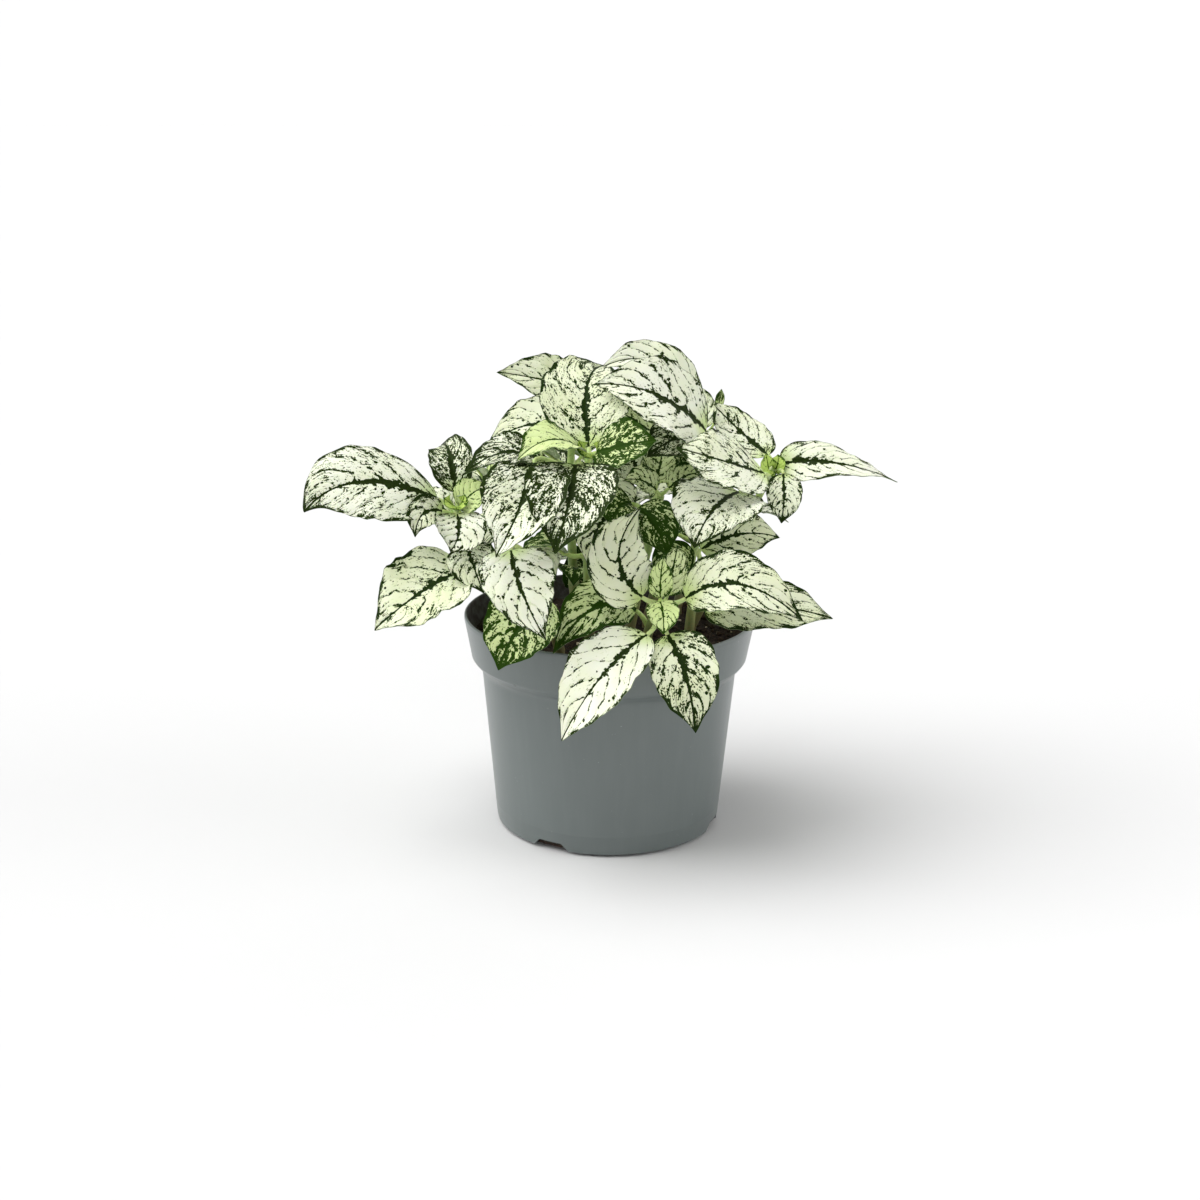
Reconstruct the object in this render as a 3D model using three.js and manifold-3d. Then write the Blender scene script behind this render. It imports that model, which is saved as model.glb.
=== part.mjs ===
// A polka dot plant in its plastic nursery pot: twelve leafy stems in soil.
// Millimetres, +Z up. The origin is the middle of the pot's flat underside, and -Y is the front.
import * as THREE from "three";
import { mergeVertices } from "three/addons/utils/BufferGeometryUtils.js";
import Module from "manifold-3d";

const wasm = await Module();
wasm.setup();

// Pot
const POT_HEIGHT = 90;
const RIM_RADIUS = 60;
const BASE_RADIUS = 46.4;
const WALL = 1.3;
const FLOOR = 1.6;
const BAND_HEIGHT = 18; // the wider band below the rim
const BAND_UNDER_RADIUS = 57.1; // the band at its lower edge
const WALL_TOP_RADIUS = 52.7; // the plain wall where it meets the band
const SHOULDER = 5; // height of the slope between the plain wall and the band
const FOOT_EDGE = 0.8; // the base's rounded corner
const POT_SIDES = 48;
const NOTCH_AZIMUTHS = [-30, 72, 150, 250]; // degrees from the front, towards +X
const NOTCH_TOP_WIDTH = 11;
const NOTCH_FOOT_WIDTH = 20;
const NOTCH_HEIGHT = 4.4;
const NOTCH_REACH = 8; // how far a notch cuts into the floor

// Soil
const SOIL_TOP = 80;
const SOIL_BUMPS = 1.2; // how far the crumbled surface rises and falls
const SOIL_SIDES = 25;
const SOIL_RINGS = 4;
const SEAT_GAP = 0.3;

// Leafy stems
const STEM_DEPTH = 14; // how deep a stem stands in the soil
const STEM_FOOT_RADIUS = 2.2;
const STEM_TIP_RADIUS = 1.3;
const HOLE_RADIUS = 2.8;
const PETIOLE_RADIUS = 1;
const PETIOLE_IN_BLADE = 0.09; // share of the midrib that the petiole runs under
const BLADE_THICKNESS = 0.8;
const FOLD = 6; // degrees that each half of a blade rises from the midrib
const WAVE = 0.035; // rise and fall of the margin, as a share of the blade's width
const WAVES = 2.5; // waves along one margin
const OUTLINE_POWER = 1.35; // higher for a more pointed base and tip
const TIP_DRAWN = 0.45; // how much narrower the last part before the tip is

// Colours
const GREY = 0x70767a;
const SOIL_BROWN = 0x1c140f;
const LEAF_GREEN = 0xc9d6a8;

// Leaf rows: at is the place along the stem, from 0 at the soil to 1 at the tip. base, mid and tip
// are points of the midrib, wide is the blade's width, and face is the way that its upper side looks.
// left and right turn that half's margin up by so many degrees, or down if negative. twist turns the
// blade along its length, and full is the place of its greatest width, or fullLeft and fullRight are.
// pairs is how many pairs of leaves a stem has by rule: lowest is the place of the first pair, longest
// is the length of its leaves and turn is its compass angle.
const SHOOTS = [
  {
    name: "shoot_left",
    foot: [-30, -14],
    bend: [-48, -22, 118],
    top: [-61, -31, 140],
    leaves: [
      { at: 0.93, base: [-68, -32, 145], mid: [-98, -39, 153], tip: [-119, -40, 141], wide: 32, face: [0, -2, 1],
        fullLeft: 0.33, fullRight: 0.5, left: 0, right: -35, twist: -30 },
      { at: 0.93, base: [-61, -28, 147], mid: [-64, -20, 161], tip: [-69, 2, 159], wide: 18, face: [0, -2, 1] },
      { at: 0.95, base: [-59, -33, 142], mid: [-54, -34, 148], tip: [-48, -30, 150], wide: 15, face: [0, -1, 1] },
      { at: 1.0, base: [-60, -36, 140], mid: [-59, -45, 134], tip: [-62, -48, 128], wide: 22, face: [0, -2, 1],
        left: 5, right: 50 },
      { at: 0.96, base: [-66, -35, 141], mid: [-73, -41, 141], tip: [-76, -42, 132], wide: 14, face: [0, -2, 1] },
      { at: 0.55, base: [-57, -40, 119], mid: [-75, -50, 111], tip: [-91, -55, 98], wide: 37, face: [-1, -2, 2] },
      { at: 0.8, base: [-56, -40, 128], mid: [-53, -47, 122], tip: [-49, -50, 112], wide: 20, face: [0, -2, 1] },
      { at: 1.0, base: [-61, -32, 142], mid: [-63, -37, 145], tip: [-65, -38, 147], wide: 8, face: [0, -1, 1] },
      { at: 1.0, base: [-60, -32, 142], mid: [-58, -36, 145], tip: [-57, -36, 148], wide: 7, face: [0, -1, 1] },
      { at: 0.75, base: [-64, -18, 134], mid: [-76, -6, 140], tip: [-86, 8, 134], wide: 24, face: [0, 0, 1] },
    ],
  },
  {
    name: "shoot_middle",
    foot: [-8, -12],
    bend: [-10, -18, 125],
    top: [-9, -29, 162],
    leaves: [
      { at: 0.95, base: [-9, -26, 165], mid: [-10, -8, 186], tip: [-3, 20, 189], wide: 37, face: [0, -1, 1] },
      { at: 0.97, base: [-12, -34, 166], mid: [-24, -46, 172], tip: [-36, -52, 165], wide: 20, face: [0, -1, 2] },
      { at: 0.97, base: [-6, -36, 165], mid: [6, -44, 170], tip: [17, -45, 172], wide: 23, face: [0, -1, 1] },
      { at: 0.85, base: [-30, -42, 162], mid: [-34, -64, 151], tip: [-43, -74, 133], wide: 34, face: [0, -1, 2] },
      { at: 0.9, base: [-14, -44, 162], mid: [-16, -66, 153], tip: [-21, -76, 135], wide: 36, face: [0, -1, 2] },
      { at: 0.85, base: [-16, -14, 169], mid: [-33, -8, 170], tip: [-50, -4, 160], wide: 24, face: [0, -1, 1] },
      { at: 0.8, base: [-26, -34, 161], mid: [-42, -38, 165], tip: [-57, -38, 156], wide: 20, face: [0, -1, 2] },
      { at: 1.0, base: [-9, -30, 163], mid: [-11, -35, 166], tip: [-13, -36, 170], wide: 8, face: [0, -1, 1] },
      { at: 1.0, base: [-7, -30, 163], mid: [-5, -34, 166], tip: [-2, -33, 170], wide: 7, face: [0, -1, 1] },
      { at: 0.45, base: [-18, -22, 121], mid: [-28, -24, 125], tip: [-38, -24, 117], wide: 22, face: [0, 0, 1] },
    ],
  },
  {
    name: "shoot_front_left",
    foot: [-20, -30],
    bend: [-26, -36, 108],
    top: [-32, -48, 127],
    leaves: [
      { at: 1.0, base: [-38, -60, 132], mid: [-33, -73, 119], tip: [-24, -78, 102], wide: 29, face: [0, -1, 1],
        full: 0.3 },
      { at: 0.5, base: [-25, -46, 109], mid: [-36, -57, 99], tip: [-43, -60, 84], wide: 30, face: [0, -1, 1] },
    ],
  },
  {
    name: "shoot_front",
    foot: [14, -34],
    bend: [15, -40, 98],
    top: [19.5, -56, 111],
    leaves: [
      { at: 0.95, base: [12, -56, 113], mid: [3, -60, 130], tip: [11, -48, 146], wide: 26, face: [0, -2, 1],
        right: 40 },
      { at: 1.0, base: [19, -60, 114], mid: [19, -62, 123], tip: [20, -60, 130], wide: 10, face: [0, -2, 1] },
      { at: 1.0, base: [19, -62, 113], mid: [20, -69, 109], tip: [20, -72, 103], wide: 13, face: [0, -1, 1] },
      { at: 0.85, base: [14, -66, 101], mid: [-4, -78, 87], tip: [-18, -78, 62], wide: 31, face: [-1, -2, 2],
        full: 0.42 },
      { at: 0.85, base: [22, -66, 101], mid: [29, -77, 87], tip: [33, -76, 65], wide: 27, face: [0, -1, 1] },
      { at: 0.93, base: [29, -54, 112], mid: [50, -62, 120], tip: [74, -60, 105], wide: 27, face: [0, -1, 1] },
      { at: 0.93, base: [22, -50, 112], mid: [24, -48, 122], tip: [26, -42, 130], wide: 14, face: [0, -2, 1] },
      { at: 0.4, base: [10, -44, 104], mid: [-6, -51, 107], tip: [-22, -57, 90], wide: 24, face: [0, -1, 1] },
    ],
  },
  {
    name: "shoot_low_right",
    foot: [32, -18],
    bend: [33, -19, 104],
    top: [36, -23, 119],
    leaves: [
      { at: 0.5, base: [37, -40, 104], mid: [62, -46, 107], tip: [87, -46, 102], wide: 26, face: [0, -1, 1] },
      { at: 1.0, base: [36, -22, 123], mid: [52, -20, 129], tip: [68, -14, 126], wide: 20, face: [0, -2, 1] },
      { at: 0.85, base: [31, -22, 114], mid: [24, -25, 119], tip: [17, -28, 112], wide: 18, face: [0, -1, 1] },
    ],
  },
  {
    name: "shoot_right",
    foot: [34, 4],
    bend: [50, 2, 118],
    top: [65, -1, 150],
    leaves: [
      { at: 1.0, base: [68, -3, 154], mid: [91, -10, 156], tip: [115, -8, 148], wide: 18, face: [0, -1, 1],
        full: 0.25, left: -20, twist: -60 },
      { at: 1.0, base: [69, -8, 151], mid: [69, -15, 142], tip: [68, -18, 133], wide: 15, face: [0, -2, 1] },
      { at: 1.0, base: [64, -3, 151], mid: [63, -6, 154], tip: [62, -5, 159], wide: 8, face: [0, -1, 1] },
      { at: 1.0, base: [66, -3, 151], mid: [67, -5, 155], tip: [67, -3, 158], wide: 7, face: [0, -1, 1] },
      { at: 0.95, base: [64, 8, 155], mid: [52, 18, 164], tip: [40, 22, 175], wide: 22, face: [0, -1, 1],
        right: -40 },
      { at: 0.95, base: [61, -12, 152], mid: [42, -28, 161], tip: [25, -30, 166], wide: 30, face: [0, -1, 1],
        left: 5, right: -15 },
      { at: 0.8, base: [51, -15, 145], mid: [39, -37, 142], tip: [32, -50, 131], wide: 37, face: [0, -1, 2] },
    ],
  },
  {
    name: "shoot_high_right",
    foot: [16, 12],
    bend: [26, 14, 128],
    top: [37, 13, 162],
    leaves: [
      { at: 1.0, base: [38, 2, 166], mid: [17, -14, 184], tip: [-7, -16, 188], wide: 34, face: [0, -1, 1],
        left: 5 },
      { at: 0.95, base: [34, 30, 168], mid: [17, 34, 188], tip: [-5, 30, 186], wide: 22, face: [0, -1, 1] },
      { at: 1.0, base: [37, 12, 165], mid: [36, 18, 174], tip: [32, 22, 182], wide: 13, face: [0, -2, 1] },
      { at: 0.95, base: [33, -2, 166], mid: [24, -11, 165], tip: [14, -16, 159], wide: 23, face: [0, -1, 1] },
      { at: 0.85, base: [18, 10, 163], mid: [8, 6, 170], tip: [-2, 4, 177], wide: 18, face: [0, -1, 1] },
      { at: 1.0, base: [44, 27, 169], mid: [44.8, 27.7, 174], tip: [45.5, 28, 178.5], wide: 4, face: [0, -1, 0],
        full: 0.5 },
      { at: 0.72, base: [31, 10, 144], mid: [29, 5, 151], tip: [27, 4, 158], wide: 18, face: [0, -2, 1] },
    ],
  },
  {
    name: "shoot_centre",
    foot: [8, -8],
    bend: [14, -8, 115],
    top: [20, -10, 142],
    leaves: [
      { at: 1.0, base: [18, -14, 145], mid: [12, -18, 150], tip: [5, -22, 151], wide: 14, face: [0, -1, 1] },
      { at: 1.0, base: [23, -14, 146], mid: [30, -13, 151], tip: [36, -9, 151], wide: 13, face: [0, -1, 1] },
      { at: 0.85, base: [8, -20, 141], mid: [3, -27, 141], tip: [0, -32, 134], wide: 20, face: [0, -1, 1] },
      { at: 0.85, base: [11, -22, 140], mid: [18, -30, 134], tip: [22, -34, 123], wide: 20, face: [0, -1, 1] },
      { at: 0.6, base: [0, -24, 138], mid: [-6, -32, 132], tip: [-9, -36, 120], wide: 18, face: [0, -1, 1] },
      { at: 0.95, base: [18, -4, 146], mid: [20, 0, 154], tip: [21, 6, 161], wide: 16, face: [0, -2, 1] },
      { at: 0.9, base: [13, 2, 147], mid: [7, 7, 155], tip: [1, 11, 161], wide: 20, face: [0, -2, 1] },
    ],
  },
  {
    name: "shoot_rear_left_high",
    foot: [-14, 16],
    bend: [-18, 18, 130],
    top: [-16, 24, 170],
    leaves: [
      { at: 0.97, base: [-9, 24, 177], mid: [-28, 20, 183], tip: [-47, 14, 187], wide: 24, face: [0, -1, 1] },
      { at: 0.15, base: [-14, 11, 102], mid: [-14, 2, 108], tip: [-15, -7, 103], wide: 19, face: [0, -1, 2] },
    ],
    pairs: 5,
    lowest: 0.4,
    longest: 38,
    turn: 36,
  },
  {
    name: "shoot_rear",
    foot: [-2, 36],
    bend: [-3, 48, 116],
    top: [-5, 64, 146],
    leaves: [
      { at: 0.1, base: [-7, 30, 92], mid: [-11, 27, 102], tip: [-16, 26, 112], wide: 22, face: [0, -1, 0] },
    ],
    pairs: 5,
    lowest: 0.3,
    longest: 42,
    turn: 108,
  },
  {
    name: "shoot_rear_left",
    foot: [-34, 14],
    bend: [-46, 26, 106],
    top: [-52, 43, 132],
    leaves: [],
    pairs: 5,
    lowest: 0.3,
    longest: 38,
    turn: 36,
  },
  {
    name: "shoot_rear_right",
    foot: [29, 32],
    bend: [39, 42, 112],
    top: [43, 56, 134],
    leaves: [],
    pairs: 5,
    lowest: 0.3,
    longest: 34,
    turn: 79.6,
  },
];

// A number between -1 and 1 that looks random and depends only on its seed.
function draw(seed) {
  const wide = Math.sin(seed * 12.9898) * 43758.5453;
  return 2 * (wide - Math.floor(wide)) - 1;
}

// Leaves in opposite pairs up a stem, each pair a quarter turn on, smaller and steeper to the top.
function pairedLeaves(shoot, seed) {
  const stem = stemOf(shoot);
  const leaves = [];
  for (let pair = 0; pair < shoot.pairs; pair++) {
    const height = pair / (shoot.pairs - 1);
    for (const side of [0, 1]) {
      const chance = seed + 7 * pair + 3 * side;
      const compass = THREE.MathUtils.degToRad(shoot.turn + 90 * pair + 180 * side + 10 * draw(chance));
      const long = THREE.MathUtils.lerp(shoot.longest, 20, height) * (1 + 0.1 * draw(chance + 1));
      const rise = THREE.MathUtils.lerp(10, 50, height) + 8 * draw(chance + 2);
      const step = (length, degrees) => {
        const angle = THREE.MathUtils.degToRad(degrees);
        const flat = length * Math.cos(angle);
        return new THREE.Vector3(flat * Math.cos(compass), flat * Math.sin(compass), length * Math.sin(angle));
      };
      const at = THREE.MathUtils.lerp(shoot.lowest, 1, height);
      const base = stem.getPoint(at).add(step(THREE.MathUtils.lerp(14, 3, height), rise + 10));
      const mid = base.clone().add(step(long / 2, rise));
      const tip = mid.clone().add(step(long / 2, rise - 45));
      const face = [0.3 * Math.cos(compass), 0.3 * Math.sin(compass), 1];
      const [from, through, to] = [base, mid, tip].map((point) => point.toArray());
      leaves.push({ at, base: from, mid: through, tip: to, wide: 0.6 * long, face, paired: true });
    }
  }
  return leaves;
}

function leavesOf(shoot) {
  const seed = 100 * SHOOTS.indexOf(shoot);
  return shoot.pairs ? [...shoot.leaves, ...pairedLeaves(shoot, seed)] : shoot.leaves;
}

// Turns a plain row of three numbers into a vector.
const vector = (row) => new THREE.Vector3(...row);

// The midrib's curve: it passes through the base, the middle and the tip.
function midribOf(leaf) {
  const base = vector(leaf.base);
  const tip = vector(leaf.tip);
  const pull = vector(leaf.mid).multiplyScalar(2).sub(base.clone().add(tip).multiplyScalar(0.5));
  return new THREE.QuadraticBezierCurve3(base, pull, tip);
}

// Width of the half on one side at s, from 0 at the base to 1 at the tip: rounded below, drawn out above.
function halfWidth(leaf, s, side) {
  const full = (side < 0 ? leaf.fullLeft : leaf.fullRight) ?? leaf.full ?? 0.36;
  const outline = (place) => (place ** full * (1 - place) ** (1 - full)) ** OUTLINE_POWER;
  const drawn = 1 - TIP_DRAWN * THREE.MathUtils.smoothstep(s, 0.7, 1);
  return (leaf.wide / 2) * (outline(s) / outline(full)) * drawn;
}

// A point of the blade's middle surface. s runs from base to tip, v from -1 at the left margin to 1.
function bladePoint(leaf, midrib, s, v, phase) {
  const along = midrib.getTangent(s);
  const up = vector(leaf.face);
  up.addScaledVector(along, -up.dot(along)).normalize();
  up.applyAxisAngle(along, THREE.MathUtils.degToRad((leaf.twist ?? 0) * (s - 0.5)));
  const right = new THREE.Vector3().crossVectors(along, up);
  const side = Math.sign(v);
  const out = Math.abs(v);
  const turn = THREE.MathUtils.degToRad((side < 0 ? leaf.left : leaf.right) ?? 14);
  const fold = THREE.MathUtils.degToRad(FOLD);
  const bend = Math.abs(turn) < 0.01 ? 0.01 : turn;
  const half = halfWidth(leaf, s, side);
  const across = (half * (Math.sin(fold + bend * out) - Math.sin(fold))) / bend;
  let lift = (half * (Math.cos(fold) - Math.cos(fold + bend * out))) / bend;
  const ripple = Math.sin(2 * Math.PI * (WAVES * s + phase + (side < 0 ? 0.3 : 0)));
  lift += WAVE * leaf.wide * ripple * out * out * Math.sin(Math.PI * s);
  return midrib.getPoint(s).addScaledVector(right, side * across).addScaledVector(up, lift);
}

// A closed solid from corners and triangles.
function solid(corners, triangles) {
  const mesh = { numProp: 3, vertProperties: new Float32Array(corners.flatMap((c) => c.toArray())) };
  return new wasm.Manifold(new wasm.Mesh({ ...mesh, triVerts: new Uint32Array(triangles.flat()) }));
}

// A blade: two like faces half a thickness off the middle surface, closed by a wall along the margin.
function bladeSolid(leaf, stations, lanes, phase) {
  const midrib = midribOf(leaf);
  const rows = stations.map((s) => {
    const row = [];
    for (let lane = 0; lane <= lanes; lane++)
      row.push(bladePoint(leaf, midrib, s, (2 * lane) / lanes - 1, phase));
    return row;
  });
  const middle = [midrib.getPoint(0), ...rows.flat(), midrib.getPoint(1)];
  const width = lanes + 1;
  const last = middle.length - 1;
  const at = (row, lane) => 1 + row * width + lane;
  const face = [];
  for (let lane = 0; lane < lanes; lane++) {
    face.push([0, at(0, lane + 1), at(0, lane)]);
    face.push([last, at(rows.length - 1, lane), at(rows.length - 1, lane + 1)]);
    for (let row = 0; row + 1 < rows.length; row++) {
      const [a, b] = [at(row, lane), at(row, lane + 1)];
      const [c, d] = [at(row + 1, lane + 1), at(row + 1, lane)];
      if (lane < lanes / 2) face.push([a, b, d], [b, c, d]);
      else face.push([a, b, c], [a, c, d]);
    }
  }
  const normals = middle.map(() => new THREE.Vector3());
  for (const [a, b, c] of face) {
    const one = middle[b].clone().sub(middle[a]);
    const normal = one.cross(middle[c].clone().sub(middle[a]));
    for (const corner of [a, b, c]) normals[corner].add(normal);
  }
  const offset = (sign) =>
    middle.map((p, i) => p.clone().addScaledVector(normals[i].normalize(), (sign * BLADE_THICKNESS) / 2));
  const corners = [...offset(1), ...offset(-1)];
  const lower = middle.length;
  const loop = [0];
  for (let row = 0; row < rows.length; row++) loop.push(at(row, lanes));
  loop.push(last);
  for (let row = rows.length - 1; row >= 0; row--) loop.push(at(row, 0));
  const walls = loop.flatMap((a, i) => {
    const b = loop[(i + 1) % loop.length];
    return [[a, a + lower, b + lower], [a, b + lower, b]];
  });
  const under = face.map(([a, b, c]) => [c + lower, b + lower, a + lower]);
  return solid(corners, [...face, ...under, ...walls]);
}

// A tapered round rod through the given points.
function rod(points, radii, sides) {
  const corners = [];
  const triangles = [];
  let across = null;
  points.forEach((point, i) => {
    const before = points[Math.max(i - 1, 0)];
    const after = points[Math.min(i + 1, points.length - 1)];
    const along = after.clone().sub(before).normalize();
    across ??= new THREE.Vector3(-along.z, along.x, along.y).cross(along);
    across.addScaledVector(along, -across.dot(along)).normalize();
    const other = new THREE.Vector3().crossVectors(along, across);
    for (let side = 0; side < sides; side++) {
      const angle = (2 * Math.PI * side) / sides;
      const corner = point.clone().addScaledVector(across, radii[i] * Math.cos(angle));
      corners.push(corner.addScaledVector(other, radii[i] * Math.sin(angle)));
    }
  });
  const top = (points.length - 1) * sides;
  for (let side = 0; side < sides; side++) {
    const next = (side + 1) % sides;
    for (let ring = 0; ring < top; ring += sides) {
      const [a, b] = [ring + side, ring + next];
      triangles.push([a, b, b + sides], [a, b + sides, a + sides]);
    }
    if (side > 1) {
      triangles.push([0, side, side - 1]);
      triangles.push([top, top + side - 1, top + side]);
    }
  }
  return solid(corners, triangles);
}

// The stem's curve above the soil.
function stemOf(shoot) {
  const foot = new THREE.Vector3(...shoot.foot, SOIL_TOP + 3);
  return new THREE.QuadraticBezierCurve3(foot, vector(shoot.bend), vector(shoot.top));
}

function stemSolid(shoot) {
  const stem = stemOf(shoot);
  const steps = 5;
  const points = [new THREE.Vector3(...shoot.foot, SOIL_TOP - STEM_DEPTH)];
  const radii = [STEM_FOOT_RADIUS];
  for (let step = 0; step <= steps; step++) {
    points.push(stem.getPoint(step / steps));
    radii.push(THREE.MathUtils.lerp(STEM_FOOT_RADIUS, STEM_TIP_RADIUS, step / steps));
  }
  return rod(points, radii, 6);
}

// The petiole leaves the stem, reaches the blade's base and runs on under its midrib.
function petioleSolid(shoot, leaf) {
  const from = stemOf(shoot).getPoint(leaf.at);
  const midrib = midribOf(leaf);
  const to = midrib.getPoint(0);
  const reach = from.distanceTo(to);
  const pull = to.clone().addScaledVector(midrib.getTangent(0), -0.45 * reach);
  const curve = new THREE.QuadraticBezierCurve3(from, pull, to);
  const bends = reach > 9 ? [curve.getPoint(0.5)] : [];
  const points = [from, ...bends, to, midrib.getPoint(PETIOLE_IN_BLADE)];
  const radii = [1.1, ...bends.map(() => 1), 0.9, 0.5].map((share) => share * PETIOLE_RADIUS);
  return rod(points, radii, 4);
}

// A large blade has more stations and lanes than a small one.
function bladeOf(leaf, index) {
  const large = leaf.wide > 24 && !leaf.paired;
  const stations = large ? [0.06, 0.25, 0.46, 0.67, 0.86] : [0.1, 0.4, 0.75];
  return bladeSolid(leaf, stations, large ? 4 : 2, 0.37 * index);
}

// Leaves out the specks without volume that joining can leave.
function largestBody(whole) {
  return whole.decompose().reduce((best, body) => (body.volume() > best.volume() ? body : best));
}

// A leafy stem in one piece.
function shootSolid(shoot) {
  let whole = stemSolid(shoot);
  leavesOf(shoot).forEach((leaf, index) => {
    whole = whole.add(petioleSolid(shoot, leaf)).add(bladeOf(leaf, index));
  });
  return largestBody(whole);
}

// A three.js mesh from a solid.
function meshOf(name, made, colour, roughness) {
  const { vertProperties, triVerts } = made.getMesh();
  const geometry = new THREE.BufferGeometry();
  geometry.setAttribute("position", new THREE.BufferAttribute(vertProperties, 3));
  geometry.setIndex(new THREE.BufferAttribute(triVerts, 1));
  geometry.computeVertexNormals();
  const material = new THREE.MeshStandardMaterial({ color: colour, roughness, metalness: 0 });
  const mesh = new THREE.Mesh(geometry, material);
  mesh.name = name;
  return mesh;
}

// A solid from a three.js geometry.
function solidOf(geometry) {
  const bare = geometry.clone();
  bare.deleteAttribute("normal");
  bare.deleteAttribute("uv");
  const merged = mergeVertices(bare, 1e-4);
  const vertProperties = merged.attributes.position.array;
  const triVerts = new Uint32Array(merged.index.array);
  return new wasm.Manifold(new wasm.Mesh({ numProp: 3, vertProperties, triVerts }));
}

// Turns a closed outline of radius and height pairs about the vertical axis.
function turned(outline, sides) {
  const points = outline.map(([radius, height]) => new THREE.Vector2(radius, height));
  const lathe = new THREE.LatheGeometry([...points, points[0]], sides);
  return solidOf(lathe.rotateX(Math.PI / 2));
}

// The pot's outline, stepped out under the band; inset moves it inwards for the inner face.
function wallOutline(inset) {
  const bandFoot = POT_HEIGHT - BAND_HEIGHT;
  return [
    [WALL_TOP_RADIUS - inset, bandFoot - SHOULDER],
    [WALL_TOP_RADIUS + 0.8 - inset, bandFoot - SHOULDER + 1.4],
    [BAND_UNDER_RADIUS - 0.7 - inset, bandFoot - 0.4],
    [BAND_UNDER_RADIUS - inset, bandFoot + 1],
  ];
}

function potSolid() {
  const outline = [
    [0, 0],
    [BASE_RADIUS - FOOT_EDGE, 0],
    [BASE_RADIUS, FOOT_EDGE],
    ...wallOutline(0),
    [RIM_RADIUS, POT_HEIGHT - 0.5],
    [RIM_RADIUS - 0.4, POT_HEIGHT],
    [RIM_RADIUS - WALL + 0.2, POT_HEIGHT],
    [RIM_RADIUS - WALL - 0.2, POT_HEIGHT - 0.5],
    ...wallOutline(WALL).reverse(),
    [BASE_RADIUS - WALL, FLOOR],
    [0, FLOOR],
  ];
  let pot = turned(outline, POT_SIDES);
  const notch = new THREE.Shape();
  notch.moveTo(-NOTCH_FOOT_WIDTH / 2, -1);
  notch.lineTo(NOTCH_FOOT_WIDTH / 2, -1);
  notch.lineTo(NOTCH_TOP_WIDTH / 2, NOTCH_HEIGHT);
  notch.lineTo(-NOTCH_TOP_WIDTH / 2, NOTCH_HEIGHT);
  notch.closePath();
  for (const azimuth of NOTCH_AZIMUTHS) {
    const cutter = new THREE.ExtrudeGeometry(notch, { depth: NOTCH_REACH + 2, bevelEnabled: false });
    cutter.translate(0, 0, BASE_RADIUS - NOTCH_REACH);
    cutter.rotateX(Math.PI / 2);
    cutter.rotateZ(THREE.MathUtils.degToRad(azimuth));
    pot = pot.subtract(solidOf(cutter));
  }
  return pot;
}

// The height of the crumbled soil surface at a place.
function soilHeight(x, y) {
  const broad = Math.sin(0.17 * x + 1) * Math.cos(0.15 * y - 0.4);
  const fine = Math.sin(0.61 * x - 0.33 * y) * Math.cos(0.47 * y + 0.29 * x + 2);
  return SOIL_TOP + SOIL_BUMPS * (0.6 * broad + 0.4 * fine);
}

// The soil fills the pot to a little under its rim.
function soilSolid() {
  const inset = WALL + SEAT_GAP;
  const slope = (RIM_RADIUS - BAND_UNDER_RADIUS) / BAND_HEIGHT;
  const edge = RIM_RADIUS - inset - slope * (POT_HEIGHT - SOIL_TOP) - 0.2;
  const sideOutline = [[BASE_RADIUS - inset - 0.1, FLOOR + SEAT_GAP], ...wallOutline(inset)];
  const corners = [new THREE.Vector3(0, 0, FLOOR + SEAT_GAP)];
  const ring = (radius, height) => {
    for (let side = 0; side < SOIL_SIDES; side++) {
      const angle = (2 * Math.PI * side) / SOIL_SIDES;
      const [x, y] = [radius * Math.cos(angle), radius * Math.sin(angle)];
      corners.push(new THREE.Vector3(x, y, height(x, y)));
    }
  };
  for (const [radius, height] of sideOutline) ring(radius, () => height);
  for (let i = 0; i < SOIL_RINGS; i++) ring(edge * (1 - i / SOIL_RINGS), soilHeight);
  const rings = sideOutline.length + SOIL_RINGS;
  corners.push(new THREE.Vector3(0, 0, soilHeight(0, 0)));
  const triangles = [];
  for (let side = 0; side < SOIL_SIDES; side++) {
    const next = (side + 1) % SOIL_SIDES;
    triangles.push([0, 1 + next, 1 + side]);
    for (let i = 0; i + 1 < rings; i++) {
      const [a, b] = [1 + i * SOIL_SIDES + side, 1 + i * SOIL_SIDES + next];
      triangles.push([a, b, b + SOIL_SIDES], [a, b + SOIL_SIDES, a + SOIL_SIDES]);
    }
    const top = 1 + (rings - 1) * SOIL_SIDES;
    triangles.push([top + side, top + next, corners.length - 1]);
  }
  let soil = solid(corners, triangles);
  for (const shoot of SHOOTS) {
    const deep = new THREE.Vector3(...shoot.foot, SOIL_TOP - STEM_DEPTH - SEAT_GAP);
    const above = new THREE.Vector3(...shoot.foot, SOIL_TOP + 5);
    soil = soil.subtract(rod([deep, above], [HOLE_RADIUS, HOLE_RADIUS], 8));
  }
  return soil;
}

const plant = new THREE.Group();
plant.add(meshOf("pot", potSolid(), GREY, 0.55));
plant.add(meshOf("soil", soilSolid(), SOIL_BROWN, 0.95));
for (const shoot of SHOOTS) plant.add(meshOf(shoot.name, shootSolid(shoot), LEAF_GREEN, 0.5));

export default plant;
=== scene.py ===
# The looks of a polka dot plant in its plastic nursery pot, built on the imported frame.
# The plant's and the pot's numbers are millimetres, as in the part's own source: +Z up, -Y the front.
# Whatever becomes a Blender object is turned into metres by MM.
import math
import random

import bmesh
import bpy
import numpy as np
from mathutils import Matrix, Vector, noise


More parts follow.
